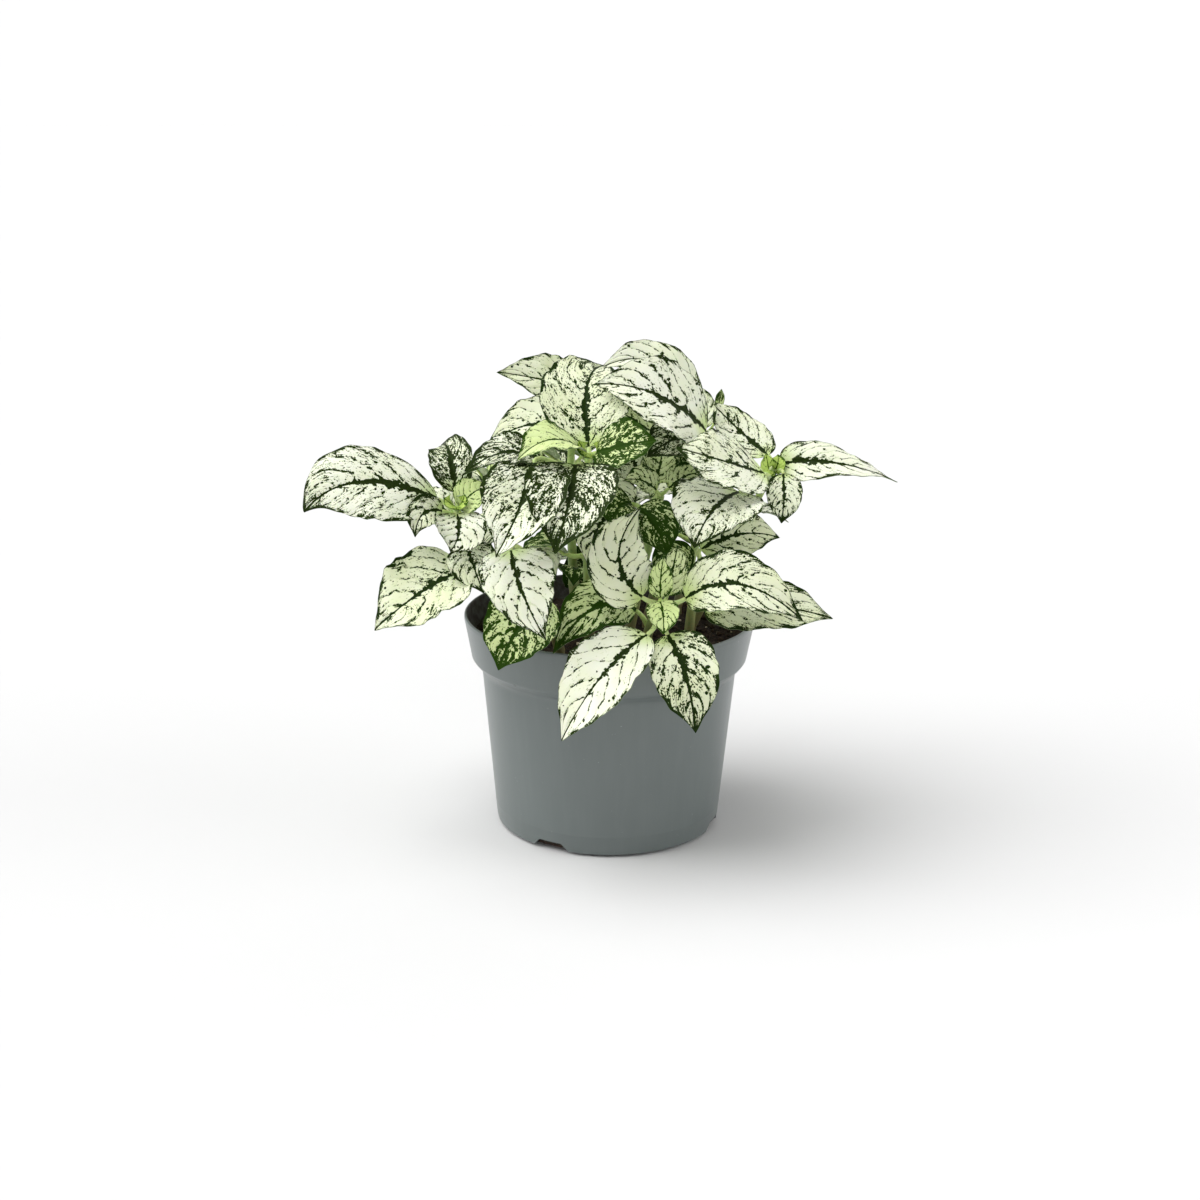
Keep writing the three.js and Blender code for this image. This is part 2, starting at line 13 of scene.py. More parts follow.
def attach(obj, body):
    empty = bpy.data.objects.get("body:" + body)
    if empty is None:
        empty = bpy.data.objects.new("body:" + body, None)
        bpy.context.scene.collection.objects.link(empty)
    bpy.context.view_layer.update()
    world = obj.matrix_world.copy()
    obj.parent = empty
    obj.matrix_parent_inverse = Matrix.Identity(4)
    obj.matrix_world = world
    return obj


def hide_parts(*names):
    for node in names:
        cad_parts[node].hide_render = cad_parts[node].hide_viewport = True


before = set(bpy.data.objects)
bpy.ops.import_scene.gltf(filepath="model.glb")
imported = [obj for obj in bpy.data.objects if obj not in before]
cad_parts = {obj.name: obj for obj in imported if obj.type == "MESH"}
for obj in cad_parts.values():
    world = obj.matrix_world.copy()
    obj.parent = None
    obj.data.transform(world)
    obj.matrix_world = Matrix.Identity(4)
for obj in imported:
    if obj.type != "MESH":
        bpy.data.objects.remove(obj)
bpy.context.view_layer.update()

MM = 0.001

# Pot
POT_HEIGHT = 90
RIM_RADIUS = 60
BASE_RADIUS = 46.4
WALL = 1.3
FLOOR = 1.6
BAND_HEIGHT = 18
BAND_UNDER_RADIUS = 57.1
WALL_TOP_RADIUS = 52.7
SHOULDER = 5
FOOT_EDGE = 0.9  # width of the base's rounded corner
FOOT_RISE = 0.7  # height of the same corner
FOOT_RECESS = 3.0  # how far the pot's lowest part stands in from its wall
FOOT_GAP = 1.0  # and how high it is
POT_SIDES = 144
MOULD_MARK = (-37.4, -42.6, 71.8)  # a small dark spot on the band's lower edge
FOOT_LINE_HEIGHT = 9  # a fine ridge near the base
LINE_RISE = 0.05  # how far it stands out
NOTCH_AZIMUTHS = [-30, 72, 150, 250]  # degrees round the axis from the front
NOTCH_TOP_WIDTH = 11
NOTCH_FOOT_WIDTH = 20
NOTCH_HEIGHT = 4.4
NOTCH_REACH = 8  # how far a notch runs in from the base's edge
NOTCH_SOFT = 0.9  # size of the softened corners at a notch's top

# Soil
SOIL_TOP = 80
SOIL_BUMPS = 1.2
SOIL_SIDES = 150
SOIL_RINGS = 56
CRUMBS = 520
PALE_GRAINS = 70
SEAT_GAP = 0.3  # between the soil and the pot

# Leafy stems
STEM_FOOT_RADIUS = 2.2
STEM_TIP_RADIUS = 1.3
STEM_DEPTH = 6  # how deep a stem stands in the soil
PETIOLE_RADIUS = 1
BLADE_THICKNESS = 0.34
FOLD = 6  # degrees that each half of a blade rises from the midrib
WAVE = 0.035  # rise and fall of the margin, as a share of the blade's width
WAVES = 2.5  # waves along one margin
OUTLINE_POWER = 1.35  # higher for a more pointed base and tip
TIP_DRAWN = 0.45  # how much narrower the last part before the tip is
VEIN_PAIRS = 5.8  # side veins along the whole length of a blade
VEIN_LEAN = 0.25  # how far a side vein runs towards the tip on its way out, as a share of the length
VEIN_ARCH = 0.16  # and how much further near the margin
RIB_GROOVE = 0.35  # depth of the groove along the midrib
QUILT = 0.018  # height of the swellings between the veins, as a share of the blade's width
RUFFLE = 0.014  # height of the fine waves at the margin, as a share of the blade's width
NOISE_STEP = 31.7  # step between two blades in the noise, so that no two have the same dots

# Camera and light
CAMERA_PLACE = (-4, -800, 332)
CAMERA_PITCH = 16.5  # degrees down
CAMERA_ROLL = 0.6
CAMERA_LENS = 60.6  # for a picture 36 wide
LAMPS = {  # the way that each lamp shines, its strength and its width in degrees
    "key": ((0.45, 0.05, -0.9), 3.2, 60),
    "front": ((-0.1, 0.95, -0.5), 0.55, 60),
    "left": ((1, 0.15, -0.3), 1.8, 50),
    "right": ((-1, 0.1, -0.25), 1.9, 50),
    "behind": ((-0.5, -0.8, -0.4), 0.5, 60),
}
ROOM_LIGHT = 0.22

# Colours, as the shares of red, green and blue light that come back
LEAF_WHITE = (0.72, 0.735, 0.625)
LEAF_CREAM = (0.635, 0.675, 0.44)
LEAF_FRESH = (0.42, 0.58, 0.10)
LEAF_FAINT_VEIN = (0.33, 0.44, 0.12)
MARK_ON_WHITE = (0.011, 0.020, 0.002)
MARK_ON_CREAM = (0.004, 0.017, 0.0005)
MARK_LIGHT = (0.038, 0.078, 0.004)
MARK_YOUNG = (0.03, 0.085, 0.001)
UNDERSIDE = (0.56, 0.63, 0.41)
UNDERSIDE_MARK = (0.11, 0.19, 0.07)
STEM_LOW = (0.17, 0.15, 0.06)
STEM_HIGH = (0.30, 0.42, 0.12)
STEM_FLECK = (0.10, 0.18, 0.05)
PETIOLE = (0.50, 0.62, 0.24)
PETIOLE_YOUNG = (0.38, 0.56, 0.09)
POT_DARK = (0.098, 0.117, 0.114)
POT_LIGHT = (0.130, 0.151, 0.147)
POT_STREAK = (0.158, 0.180, 0.174)
POT_SPECK = (0.30, 0.31, 0.31)
# near-black brown: soil traces and painted shade on the pot's inner wall above the soil
POT_SOIL_AND_SHADE = (0.026, 0.018, 0.013)
POT_MARK = (0.03, 0.03, 0.03)
SOIL_DARK = (0.011, 0.007, 0.005)
SOIL_BROWN = (0.065, 0.040, 0.024)
SOIL_FIBRE = (0.10, 0.062, 0.036)
GRAIN_DARK = (0.42, 0.34, 0.24)
GRAIN_PALE = (0.62, 0.55, 0.42)
FLOOR_GREY = (0.645, 0.645, 0.645)

# Looks of a leaf: speckle is how much of it is dotted dark green, veins how strongly its veins are
# drawn, cream goes from white to greenish cream, young from a grown leaf to a yellow-green bud, and
# coarse is how large its dots and lines are.
LOOKS = {
    "white": dict(speckle=0.11, veins=1.0, cream=0.1, young=0.0, coarse=1.08),
    "cream": dict(speckle=0.13, veins=0.85, cream=0.6, young=0.0, coarse=1.08),
    "freckled": dict(speckle=0.24, veins=0.8, cream=0.35, young=0.0, coarse=1.1),
    "speckled": dict(speckle=0.42, veins=0.8, cream=0.15, young=0.0, coarse=1.25),
    "dark": dict(speckle=0.47, veins=0.9, cream=0.8, young=0.36, coarse=1.6),
    # olive: a dull green-cream ground, the leaf's own green with painted shade, for leaves that sit in the
    # shadow of others
    "olive_in_shade": dict(speckle=0.2, veins=0.7, cream=1.0, young=0.22, coarse=1.1),
    "young": dict(speckle=0.12, veins=0.5, cream=0.8, young=0.5, coarse=1.0),
    "bud": dict(speckle=0.0, veins=0.3, cream=1.0, young=0.9, coarse=1.0),
    "stub": dict(speckle=0.1, veins=0.2, cream=1.0, young=0.4, coarse=1.0),
}


# Rows of leaves: at is the place on the stem, from 0 at the soil to 1 at the tip, base, mid and tip are
# points of the midrib, wide is the width, and face is the way that the upper side looks. left and right
# turn that half's margin up by so many degrees, or down if negative, twist turns the blade along its
# length, full is the place of its greatest width, and fade is the share of its dots that is gone at the
# tip. A stem may have pairs of leaves by rule: lowest is the place of the first pair, longest is the
# length of its leaves and turn is its compass angle.
def leaf(at, base, mid, tip, wide, face, look, **more):
    """A row of the leaf table, with the values of its look where it gives none of its own."""
    return dict(at=at, base=base, mid=mid, tip=tip, wide=wide, face=face, **{**LOOKS[look], **more})


SHOOTS = [
    dict(
        name="shoot_left", foot=(-30, -14), bend=(-48, -22, 118), top=(-61, -31, 140),
        leaves=[
            leaf(0.93, (-68, -32, 145), (-98, -39, 153), (-119, -40, 141), 32, (0, -2, 1), "white",
                 full_left=0.33, full_right=0.5, left=0, right=-35, twist=-30, speckle=0.26, veins=1.2),
            leaf(0.93, (-61, -28, 147), (-64, -20, 161), (-69, 2, 159), 18, (0, -2, 1), "speckled"),
            leaf(0.95, (-59, -33, 142), (-54, -34, 148), (-48, -30, 150), 15, (0, -1, 1), "young"),
            leaf(1.0, (-60, -36, 140), (-59, -45, 134), (-62, -48, 128), 22, (0, -2, 1), "white",
                 left=5, right=50),
            leaf(0.96, (-66, -35, 141), (-73, -41, 141), (-76, -42, 132), 14, (0, -2, 1), "freckled"),
            leaf(0.55, (-57, -40, 119), (-75, -50, 111), (-91, -55, 98), 37, (-1, -2, 2), "cream",
                 speckle=0.22, veins=1.1),
            leaf(0.8, (-56, -40, 128), (-53, -47, 122), (-49, -50, 112), 20, (0, -2, 1), "freckled"),
            leaf(1.0, (-61, -32, 142), (-63, -37, 145), (-65, -38, 147), 8, (0, -1, 1), "bud"),
            leaf(1.0, (-60, -32, 142), (-58, -36, 145), (-57, -36, 148), 7, (0, -1, 1), "bud"),
            leaf(0.75, (-64, -18, 134), (-76, -6, 140), (-86, 8, 134), 24, (0, 0, 1), "freckled"),
        ],
    ),
    dict(
        name="shoot_middle", foot=(-8, -12), bend=(-10, -18, 125), top=(-9, -29, 162),
        leaves=[
            leaf(0.95, (-9, -26, 165), (-10, -8, 186), (-3, 20, 189), 37, (0, -1, 1), "cream",
                 speckle=0.29, veins=0.9),
            leaf(0.97, (-12, -34, 166), (-24, -46, 172), (-36, -52, 165), 20, (0, -1, 2), "young",
                 young=0.45),
            leaf(0.97, (-6, -36, 165), (6, -44, 170), (17, -45, 172), 23, (0, -1, 1), "dark"),
            leaf(0.85, (-30, -42, 162), (-34, -64, 151), (-43, -74, 133), 34, (0, -1, 2), "speckled",
                 speckle=0.54, fade=0.8),
            leaf(0.9, (-14, -44, 162), (-16, -66, 153), (-21, -76, 135), 36, (0, -1, 2), "speckled",
                 speckle=0.5, fade=0.1),
            leaf(0.85, (-16, -14, 169), (-33, -8, 170), (-50, -4, 160), 24, (0, -1, 1), "cream"),
            leaf(0.8, (-26, -34, 161), (-42, -38, 165), (-57, -38, 156), 20, (0, -1, 2), "speckled"),
            leaf(1.0, (-9, -30, 163), (-11, -35, 166), (-13, -36, 170), 8, (0, -1, 1), "bud"),
            leaf(1.0, (-7, -30, 163), (-5, -34, 166), (-2, -33, 170), 7, (0, -1, 1), "bud"),
            leaf(0.45, (-18, -22, 121), (-28, -24, 125), (-38, -24, 117), 22, (0, 0, 1), "dark"),
        ],
    ),
    dict(
        name="shoot_front_left", foot=(-20, -30), bend=(-26, -36, 108), top=(-32, -48, 127),
        leaves=[
            leaf(1.0, (-38, -60, 132), (-33, -73, 119), (-24, -78, 102), 29, (0, -1, 1), "white",
                 full=0.3, speckle=0.09),
            leaf(0.5, (-25, -46, 109), (-36, -57, 99), (-43, -60, 84), 30, (0, -1, 1), "dark",
                 speckle=0.33),
        ],
    ),
    dict(
        name="shoot_front", foot=(14, -34), bend=(15, -40, 98), top=(19.5, -56, 111),
        leaves=[
            leaf(0.95, (12, -56, 113), (3, -60, 130), (11, -48, 146), 26, (0, -2, 1), "cream",
                 right=40, speckle=0.05, veins=1.1),
            leaf(1.0, (19, -60, 114), (19, -62, 123), (20, -60, 130), 10, (0, -2, 1), "young"),
            leaf(1.0, (19, -62, 113), (20, -69, 109), (20, -72, 103), 13, (0, -1, 1), "young"),
            leaf(0.85, (14, -66, 101), (-4, -78, 87), (-18, -78, 62), 31, (-1, -2, 2), "white",
                 full=0.42, veins=0.9, speckle=0.04),
            leaf(0.85, (22, -66, 101), (29, -77, 87), (33, -76, 65), 27, (0, -1, 1), "cream",
                 speckle=0.26, veins=0.9, coarse=1.4),
            leaf(0.93, (29, -54, 112), (50, -62, 120), (74, -60, 105), 27, (0, -1, 1), "cream",
                 speckle=0.18, veins=1.0),
            leaf(0.93, (22, -50, 112), (24, -48, 122), (26, -42, 130), 14, (0, -2, 1), "olive_in_shade"),
            leaf(0.4, (10, -44, 104), (-6, -51, 107), (-22, -57, 90), 24, (0, -1, 1), "dark", speckle=0.3),
        ],
    ),
    dict(
        name="shoot_low_right", foot=(32, -18), bend=(33, -19, 104), top=(36, -23, 119),
        leaves=[
            leaf(0.5, (37, -40, 104), (62, -46, 107), (87, -46, 102), 26, (0, -1, 1), "cream",
                 speckle=0.25),
            leaf(1.0, (36, -22, 123), (52, -20, 129), (68, -14, 126), 20, (0, -2, 1), "cream"),
            leaf(0.85, (31, -22, 114), (24, -25, 119), (17, -28, 112), 18, (0, -1, 1), "dark"),
        ],
    ),
    dict(
        name="shoot_right", foot=(34, 4), bend=(50, 2, 118), top=(65, -1, 150),
        leaves=[
            leaf(1.0, (68, -3, 154), (91, -10, 156), (115, -8, 148), 18, (0, -1, 1), "white",
                 full=0.25, left=-20, twist=-60, speckle=0.14),
            leaf(1.0, (69, -8, 151), (69, -15, 142), (68, -18, 133), 15, (0, -2, 1), "freckled"),
            leaf(1.0, (64, -3, 151), (63, -6, 154), (62, -5, 159), 8, (0, -1, 1), "bud"),
            leaf(1.0, (66, -3, 151), (67, -5, 155), (67, -3, 158), 7, (0, -1, 1), "bud"),
            leaf(0.95, (64, 8, 155), (52, 18, 164), (40, 22, 175), 22, (0, -1, 1), "freckled",
                 right=-40),
            leaf(0.95, (61, -12, 152), (42, -28, 161), (25, -30, 166), 30, (0, -1, 1), "white",
                 left=5, right=-15, speckle=0.23, cream=0.3),
            leaf(0.8, (51, -15, 145), (39, -37, 142), (32, -50, 131), 37, (0, -1, 2), "white",
                 speckle=0.23),
        ],
    ),
    dict(
        name="shoot_high_right", foot=(16, 12), bend=(26, 14, 128), top=(37, 13, 162),
        leaves=[
            leaf(1.0, (38, 2, 166), (17, -14, 184), (-7, -16, 188), 34, (0, -1, 1), "white",
                 left=5, veins=1.6, speckle=0.19),
            leaf(0.95, (34, 30, 168), (17, 34, 188), (-5, 30, 186), 22, (0, -1, 1), "white",
                 speckle=0.03, veins=0.8),
            leaf(1.0, (37, 12, 165), (36, 18, 174), (32, 22, 182), 13, (0, -2, 1), "freckled"),
            leaf(0.95, (33, -2, 166), (24, -11, 165), (14, -16, 159), 23, (0, -1, 1), "speckled"),
            leaf(0.85, (18, 10, 163), (8, 6, 170), (-2, 4, 177), 18, (0, -1, 1), "olive_in_shade"),
            leaf(1.0, (44, 27, 169), (44.8, 27.7, 174), (45.5, 28, 178.5), 4, (0, -1, 0), "stub",
                 full=0.5),
            leaf(0.72, (31, 10, 144), (29, 5, 151), (27, 4, 158), 18, (0, -2, 1), "dark"),
        ],
    ),
    dict(
        name="shoot_centre", foot=(8, -8), bend=(14, -8, 115), top=(20, -10, 142),
        leaves=[
            leaf(1.0, (18, -14, 145), (12, -18, 150), (5, -22, 151), 14, (0, -1, 1), "olive_in_shade"),
            leaf(1.0, (23, -14, 146), (30, -13, 151), (36, -9, 151), 13, (0, -1, 1), "olive_in_shade"),
            leaf(0.85, (8, -20, 141), (3, -27, 141), (0, -32, 134), 20, (0, -1, 1), "dark"),
            leaf(0.85, (11, -22, 140), (18, -30, 134), (22, -34, 123), 20, (0, -1, 1), "dark"),
            leaf(0.6, (0, -24, 138), (-6, -32, 132), (-9, -36, 120), 18, (0, -1, 1), "cream"),
            leaf(0.95, (18, -4, 146), (20, 0, 154), (21, 6, 161), 16, (0, -2, 1), "olive_in_shade"),
            leaf(0.9, (13, 2, 147), (7, 7, 155), (1, 11, 161), 20, (0, -2, 1), "freckled"),
        ],
    ),
    dict(
        name="shoot_rear_left_high", foot=(-14, 16), bend=(-18, 18, 130), top=(-16, 24, 170),
        pairs=5, lowest=0.4, longest=38, turn=36,
        leaves=[
            leaf(0.97, (-9, 24, 177), (-28, 20, 183), (-47, 14, 187), 24, (0, -1, 1), "cream"),
            leaf(0.15, (-14, 11, 102), (-14, 2, 108), (-15, -7, 103), 19, (0, -1, 2), "dark"),
        ],
    ),
    dict(
        name="shoot_rear", foot=(-2, 36), bend=(-3, 48, 116), top=(-5, 64, 146),
        pairs=5, lowest=0.3, longest=42, turn=108,
        leaves=[leaf(0.1, (-7, 30, 92), (-11, 27, 102), (-16, 26, 112), 22, (0, -1, 0), "dark")],
    ),
    dict(
        name="shoot_rear_left", foot=(-34, 14), bend=(-46, 26, 106), top=(-52, 43, 132),
        pairs=5, lowest=0.3, longest=38, turn=36, leaves=[],
    ),
    dict(
        name="shoot_rear_right", foot=(29, 32), bend=(39, 42, 112), top=(43, 56, 134),
        pairs=5, lowest=0.3, longest=34, turn=79.6, leaves=[],
    ),
]


def draw(seed):
    """A number between -1 and 1 that looks random and depends only on its seed."""
    wide = math.sin(seed * 12.9898) * 43758.5453
    return 2 * (wide - math.floor(wide)) - 1


def lerp(a, b, share):
    return a + (b - a) * share


def bezier(a, b, c, s):
    """Points of a quadratic curve, one for each value of s."""
    s = np.asarray(s, float)[..., None]
    a, b, c = (np.asarray(p, float) for p in (a, b, c))
    return (1 - s) ** 2 * a + 2 * s * (1 - s) * b + s**2 * c


def bezier_direction(a, b, c, s):
    s = np.asarray(s, float)[..., None]
    a, b, c = (np.asarray(p, float) for p in (a, b, c))
    along = (1 - s) * (b - a) + s * (c - b)
    return along / np.linalg.norm(along, axis=-1, keepdims=True)


def stem_curve(shoot):
    """The three points that draw a stem above the soil."""
    return (*shoot["foot"], SOIL_TOP + 3), shoot["bend"], shoot["top"]


def midrib_curve(row):
    base, mid, tip = (np.array(row[key], float) for key in ("base", "mid", "tip"))
    return base, 2 * mid - (base + tip) / 2, tip


def paired_leaves(shoot, seed):
    """Leaves in opposite pairs up a stem, each pair a quarter turn on, smaller and steeper to the top."""
    rows = []
    for pair in range(shoot["pairs"]):
        height = pair / (shoot["pairs"] - 1)
        for side in (0, 1):
            chance = seed + 7 * pair + 3 * side
            compass = math.radians(shoot["turn"] + 90 * pair + 180 * side + 10 * draw(chance))
            length = lerp(shoot["longest"], 20, height) * (1 + 0.1 * draw(chance + 1))
            rise = lerp(10, 50, height) + 8 * draw(chance + 2)

            def step(reach, degrees):
                flat = reach * math.cos(math.radians(degrees))
                up = reach * math.sin(math.radians(degrees))
                return np.array([flat * math.cos(compass), flat * math.sin(compass), up])

            at = lerp(shoot["lowest"], 1, height)
            base = bezier(*stem_curve(shoot), at) + step(lerp(14, 3, height), rise + 10)
            mid = base + step(length / 2, rise)
            tip = mid + step(length / 2, rise - 45)
            face = (0.3 * math.cos(compass), 0.3 * math.sin(compass), 1)
            look = ("white", "cream", "freckled", "speckled", "dark")[int(2.499 * (draw(chance + 3) + 1))]
            if height == 1:
                look = "young"
            rows.append(leaf(at, base, mid, tip, 0.6 * length, face, look))
    return rows


def leaves_of(shoot):
    seed = 100 * SHOOTS.index(shoot)
    return shoot["leaves"] + (paired_leaves(shoot, seed) if "pairs" in shoot else [])


# Meshes


def add_to_scene(name, data):
    made = bpy.data.objects.new(name, data)
    bpy.context.scene.collection.objects.link(made)
    return made


def new_object(name, points, faces, material, smooth_angle=40):
    """An object whose mesh has the given points, in millimetres."""
    mesh = bpy.data.meshes.new(name)
    mesh.from_pydata((np.asarray(points) * MM).tolist(), [], faces)
    mesh.polygons.foreach_set("use_smooth", [True] * len(mesh.polygons))
    mesh.set_sharp_from_angle(angle=math.radians(smooth_angle))
    mesh.materials.append(material)
    return add_to_scene(name, mesh)


def paint(made, name, values):
    """Keeps three numbers for each point of an object's mesh, for its material to read."""
    layer = made.data.attributes.new(name, "FLOAT_VECTOR", "POINT")
    layer.data.foreach_set("vector", np.asarray(values, np.float32).ravel())


def finish_piece(piece, slot, *nodes):
    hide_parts(*nodes)
    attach(piece, "root")


# Leaf blades


def half_width(row, s, side):
    """Width of the half on one side at s, from 0 at the base to 1 at the drawn-out tip."""
    full = row.get("full", 0.36)
    full = np.where(side < 0, row.get("full_left", full), row.get("full_right", full))

    def outline(place):
        return (place**full * (1 - place) ** (1 - full)) ** OUTLINE_POWER

    near_tip = np.clip((s - 0.7) / 0.3, 0, 1)
    drawn = 1 - TIP_DRAWN * near_tip**2 * (3 - 2 * near_tip)
    return row["wide"] / 2 * outline(s) / outline(full) * drawn


def vein_phase(s, v):
    """Runs from one whole number to the next between two side veins, which arch forward."""
    out = np.abs(v)
    return VEIN_PAIRS * (s**0.9 - VEIN_LEAN * out - VEIN_ARCH * out**2) + np.where(v < 0, 0.42, 0.0)


def midrib_frame(row, stations):
    """Points of the midrib, the way it runs there and the way that the blade faces there."""
    curve = midrib_curve(row)
    along = bezier_direction(*curve, stations)
    face = np.array(row["face"], float)
    up = face - along * (along @ face)[:, None]
    up /= np.linalg.norm(up, axis=1, keepdims=True)
    twist = np.radians(row.get("twist", 0) * (stations - 0.5))[:, None]
    return bezier(*curve, stations), along, up * np.cos(twist) + np.cross(along, up) * np.sin(twist)


def blade_points(row, stations, lanes, phase):
    """The blade's middle surface and its half width, one row for each station and a column for each lane."""
    rib, along, up = midrib_frame(row, stations)
    right = np.cross(along, up)

    s, v = np.meshgrid(stations, lanes, indexing="ij")
    side, out = np.sign(v), np.abs(v)
    turn = np.radians(np.where(side < 0, row.get("left", 14), row.get("right", 14)))
    bend = np.where(np.abs(turn) < 0.01, 0.01, turn)
    fold = math.radians(FOLD)
    half = half_width(row, s, v) * (1 + 0.02 * np.sin(2 * np.pi * (6 * s + 2 * phase)) * side)
    across = half * (np.sin(fold + bend * out) - math.sin(fold)) / bend
    lift = half * (math.cos(fold) - np.cos(fold + bend * out)) / bend
    ripple = np.sin(2 * np.pi * (WAVES * s + phase + np.where(side < 0, 0.3, 0)))
    lift += WAVE * row["wide"] * ripple * out**2 * np.sin(np.pi * s)

    swelling = np.abs(np.sin(np.pi * vein_phase(s, v))) - 0.5
    lift += QUILT * row["wide"] * swelling * np.minimum(1, 3 * out) * (1 - out**3) * np.sin(np.pi * s)
    ruffle = np.sin(2 * np.pi * (8.3 * s + 3 * phase)) * out**4 * np.sin(np.pi * s)
    lift += RUFFLE * row["wide"] * ruffle
    lift -= RIB_GROOVE * np.exp(-((half * out / 0.9) ** 2)) * np.sin(np.pi * s)
    points = rib[:, None] + right[:, None] * (side * across)[..., None] + up[:, None] * lift[..., None]
    return points, s, v, half


def blade(name, row, phase, seed, material):
    """A leaf blade as a thin closed sheet, with its own coordinates kept for the leaf's material."""
    large = row["wide"] > 15
    rows, columns = (44, 27) if large else (26, 15)
    stations = 0.5 - 0.5 * np.cos(np.pi * np.arange(1, rows + 1) / (rows + 1))
    lanes = np.sin(np.linspace(-0.5, 0.5, columns) * np.pi)
    middle, s, v, half = blade_points(row, stations, lanes, phase)
    curve = midrib_curve(row)
    length = float(np.linalg.norm(np.diff(bezier(*curve, np.linspace(0, 1, 30)), axis=0), axis=1).sum())

    normal = np.cross(np.gradient(middle, axis=1), np.gradient(middle, axis=0))
    normal /= np.linalg.norm(normal, axis=2, keepdims=True)
    thick = BLADE_THICKNESS / 2 * (1 - 0.5 * np.abs(v) ** 4)[..., None]
    upper, lower = middle + normal * thick, middle - normal * thick
    ends = bezier(*curve, [0.0, 1.0])
    points = np.concatenate([upper.reshape(-1, 3), lower.reshape(-1, 3), ends])

    count = rows * columns
    base, tip = 2 * count, 2 * count + 1
    over = [[i * columns + j for j in range(columns)] for i in range(rows)]
    under = [[count + corner for corner in line] for line in over]
    faces = []
    for j in range(columns - 1):
        faces += [(base, over[0][j + 1], over[0][j]), (over[-1][j], over[-1][j + 1], tip)]
        faces += [(under[0][j], under[0][j + 1], base), (tip, under[-1][j + 1], under[-1][j])]
        for i in range(rows - 1):
            faces.append((over[i][j], over[i][j + 1], over[i + 1][j + 1], over[i + 1][j]))
            faces.append((under[i + 1][j], under[i + 1][j + 1], under[i][j + 1], under[i][j]))
    for j, turned in ((columns - 1, False), (0, True)):
        margin = [(base, under[0][j], over[0][j]), (over[-1][j], under[-1][j], tip)]
        for i in range(rows - 1):
            margin.append((over[i][j], under[i][j], under[i + 1][j], over[i + 1][j]))
        faces += [face[::-1] for face in margin] if turned else margin
    made = new_object(name, points, faces, material, smooth_angle=60)

    # places on the blade in millimetres, a little smaller on short leaves so that their dots are too
    shrink = (45 / length) ** 0.35 / row["coarse"]
    flat = (v * half).ravel() * shrink
    run = (s * length).ravel() * shrink
    edge = ((1 - np.abs(v)) * half).ravel()
    phases = vein_phase(s, v).ravel()
    own = NOISE_STEP * seed
    both = [np.stack([flat, run, np.full(count, own)], 1)] * 2
    paint(made, "leaf_place", np.concatenate([*both, [[0, 0, own], [0, length * shrink, own]]]))
    both = [np.stack([phases, edge, s.ravel()], 1)] * 2
    paint(made, "leaf_lines", np.concatenate([*both, [[0.5, 0, 0], [0.5, 0, 1]]]))
    fade = row["speckle"] * (1 - row.get("fade", 0.0) * s.ravel())
    dotted = np.concatenate([fade, fade, [row["speckle"], row["speckle"]]])
    veins, young = (np.full(len(points), row[key]) for key in ("veins", "young"))
    paint(made, "leaf_look", np.stack([dotted, veins, young], 1))
    faced = np.concatenate([np.zeros(count), np.ones(count), [0, 0]])
    gap = np.full(len(points), length / VEIN_PAIRS * 0.72 * shrink)
    paint(made, "leaf_side", np.stack([faced, gap, np.full(len(points), row["cream"])], 1))
    bake_layout(made, np.concatenate([flat, flat, [0, 0]]), np.concatenate([run, run, [0, length * shrink]]),
                faced, count)
    return made


def bake_layout(made, flat, run, faced, count):
    """Lays the upper face out on the left half of the texture and the lower face on the right half."""
    layer = made.data.uv_layers.new(name="OFBake")
    widest = max(float(np.abs(flat).max()), 1e-6)
    longest = float(run.max())
    place = np.stack([0.25 + 0.235 * flat / widest, 0.01 + 0.98 * run / longest], 1)
    values = np.zeros((len(made.data.loops), 2), np.float32)
    for polygon in made.data.polygons:
        corners = [made.data.loops[i].vertex_index for i in polygon.loop_indices]
        below = sum(faced[c] for c in corners) > len(corners) / 2 + 0.1
        wall = 0 < sum(faced[c] for c in corners if c < 2 * count) < sum(1 for c in corners if c < 2 * count)
        for i, corner in zip(polygon.loop_indices, corners):
            values[i] = place[corner]
            if below and not wall:
                values[i][0] += 0.5
    layer.data.foreach_set("uv", values.ravel())


# Stems and petioles


def tube(points, radii, sides):
    """Points and faces of a closed round tube along the given centres."""
    points = np.asarray(points, float)
    along = np.gradient(points, axis=0)
    along /= np.linalg.norm(along, axis=1, keepdims=True)
    across = np.cross(along[0], (0.3, 0.9, 0.1))
    corners = []
    for place, direction, radius in zip(points, along, radii):
        across = across - direction * np.dot(direction, across)
        across = across / np.linalg.norm(across)
        other = np.cross(direction, across)
        for side in range(sides):
            angle = 2 * math.pi * side / sides
            corners.append(place + radius * (math.cos(angle) * across + math.sin(angle) * other))
    faces = []
    for ring in range(len(points) - 1):
        for side in range(sides):
            a, b = ring * sides + side, ring * sides + (side + 1) % sides
            faces.append((a, b, b + sides, a + sides))
    last = (len(points) - 1) * sides
    faces.append(tuple(range(sides))[::-1])
    faces.append(tuple(last + side for side in range(sides)))
    return corners, faces


class Parts:
    """Collects the points, faces and tints of several loose shapes for one object."""

    def __init__(self):
        self.points, self.faces, self.tints = [], [], []

    def add(self, shape, tint):
        points, faces = shape
        start = len(self.points)
        self.points.extend(points)
        self.faces.extend(tuple(start + corner for corner in face) for face in faces)
        self.tints.extend([tint] * len(points))


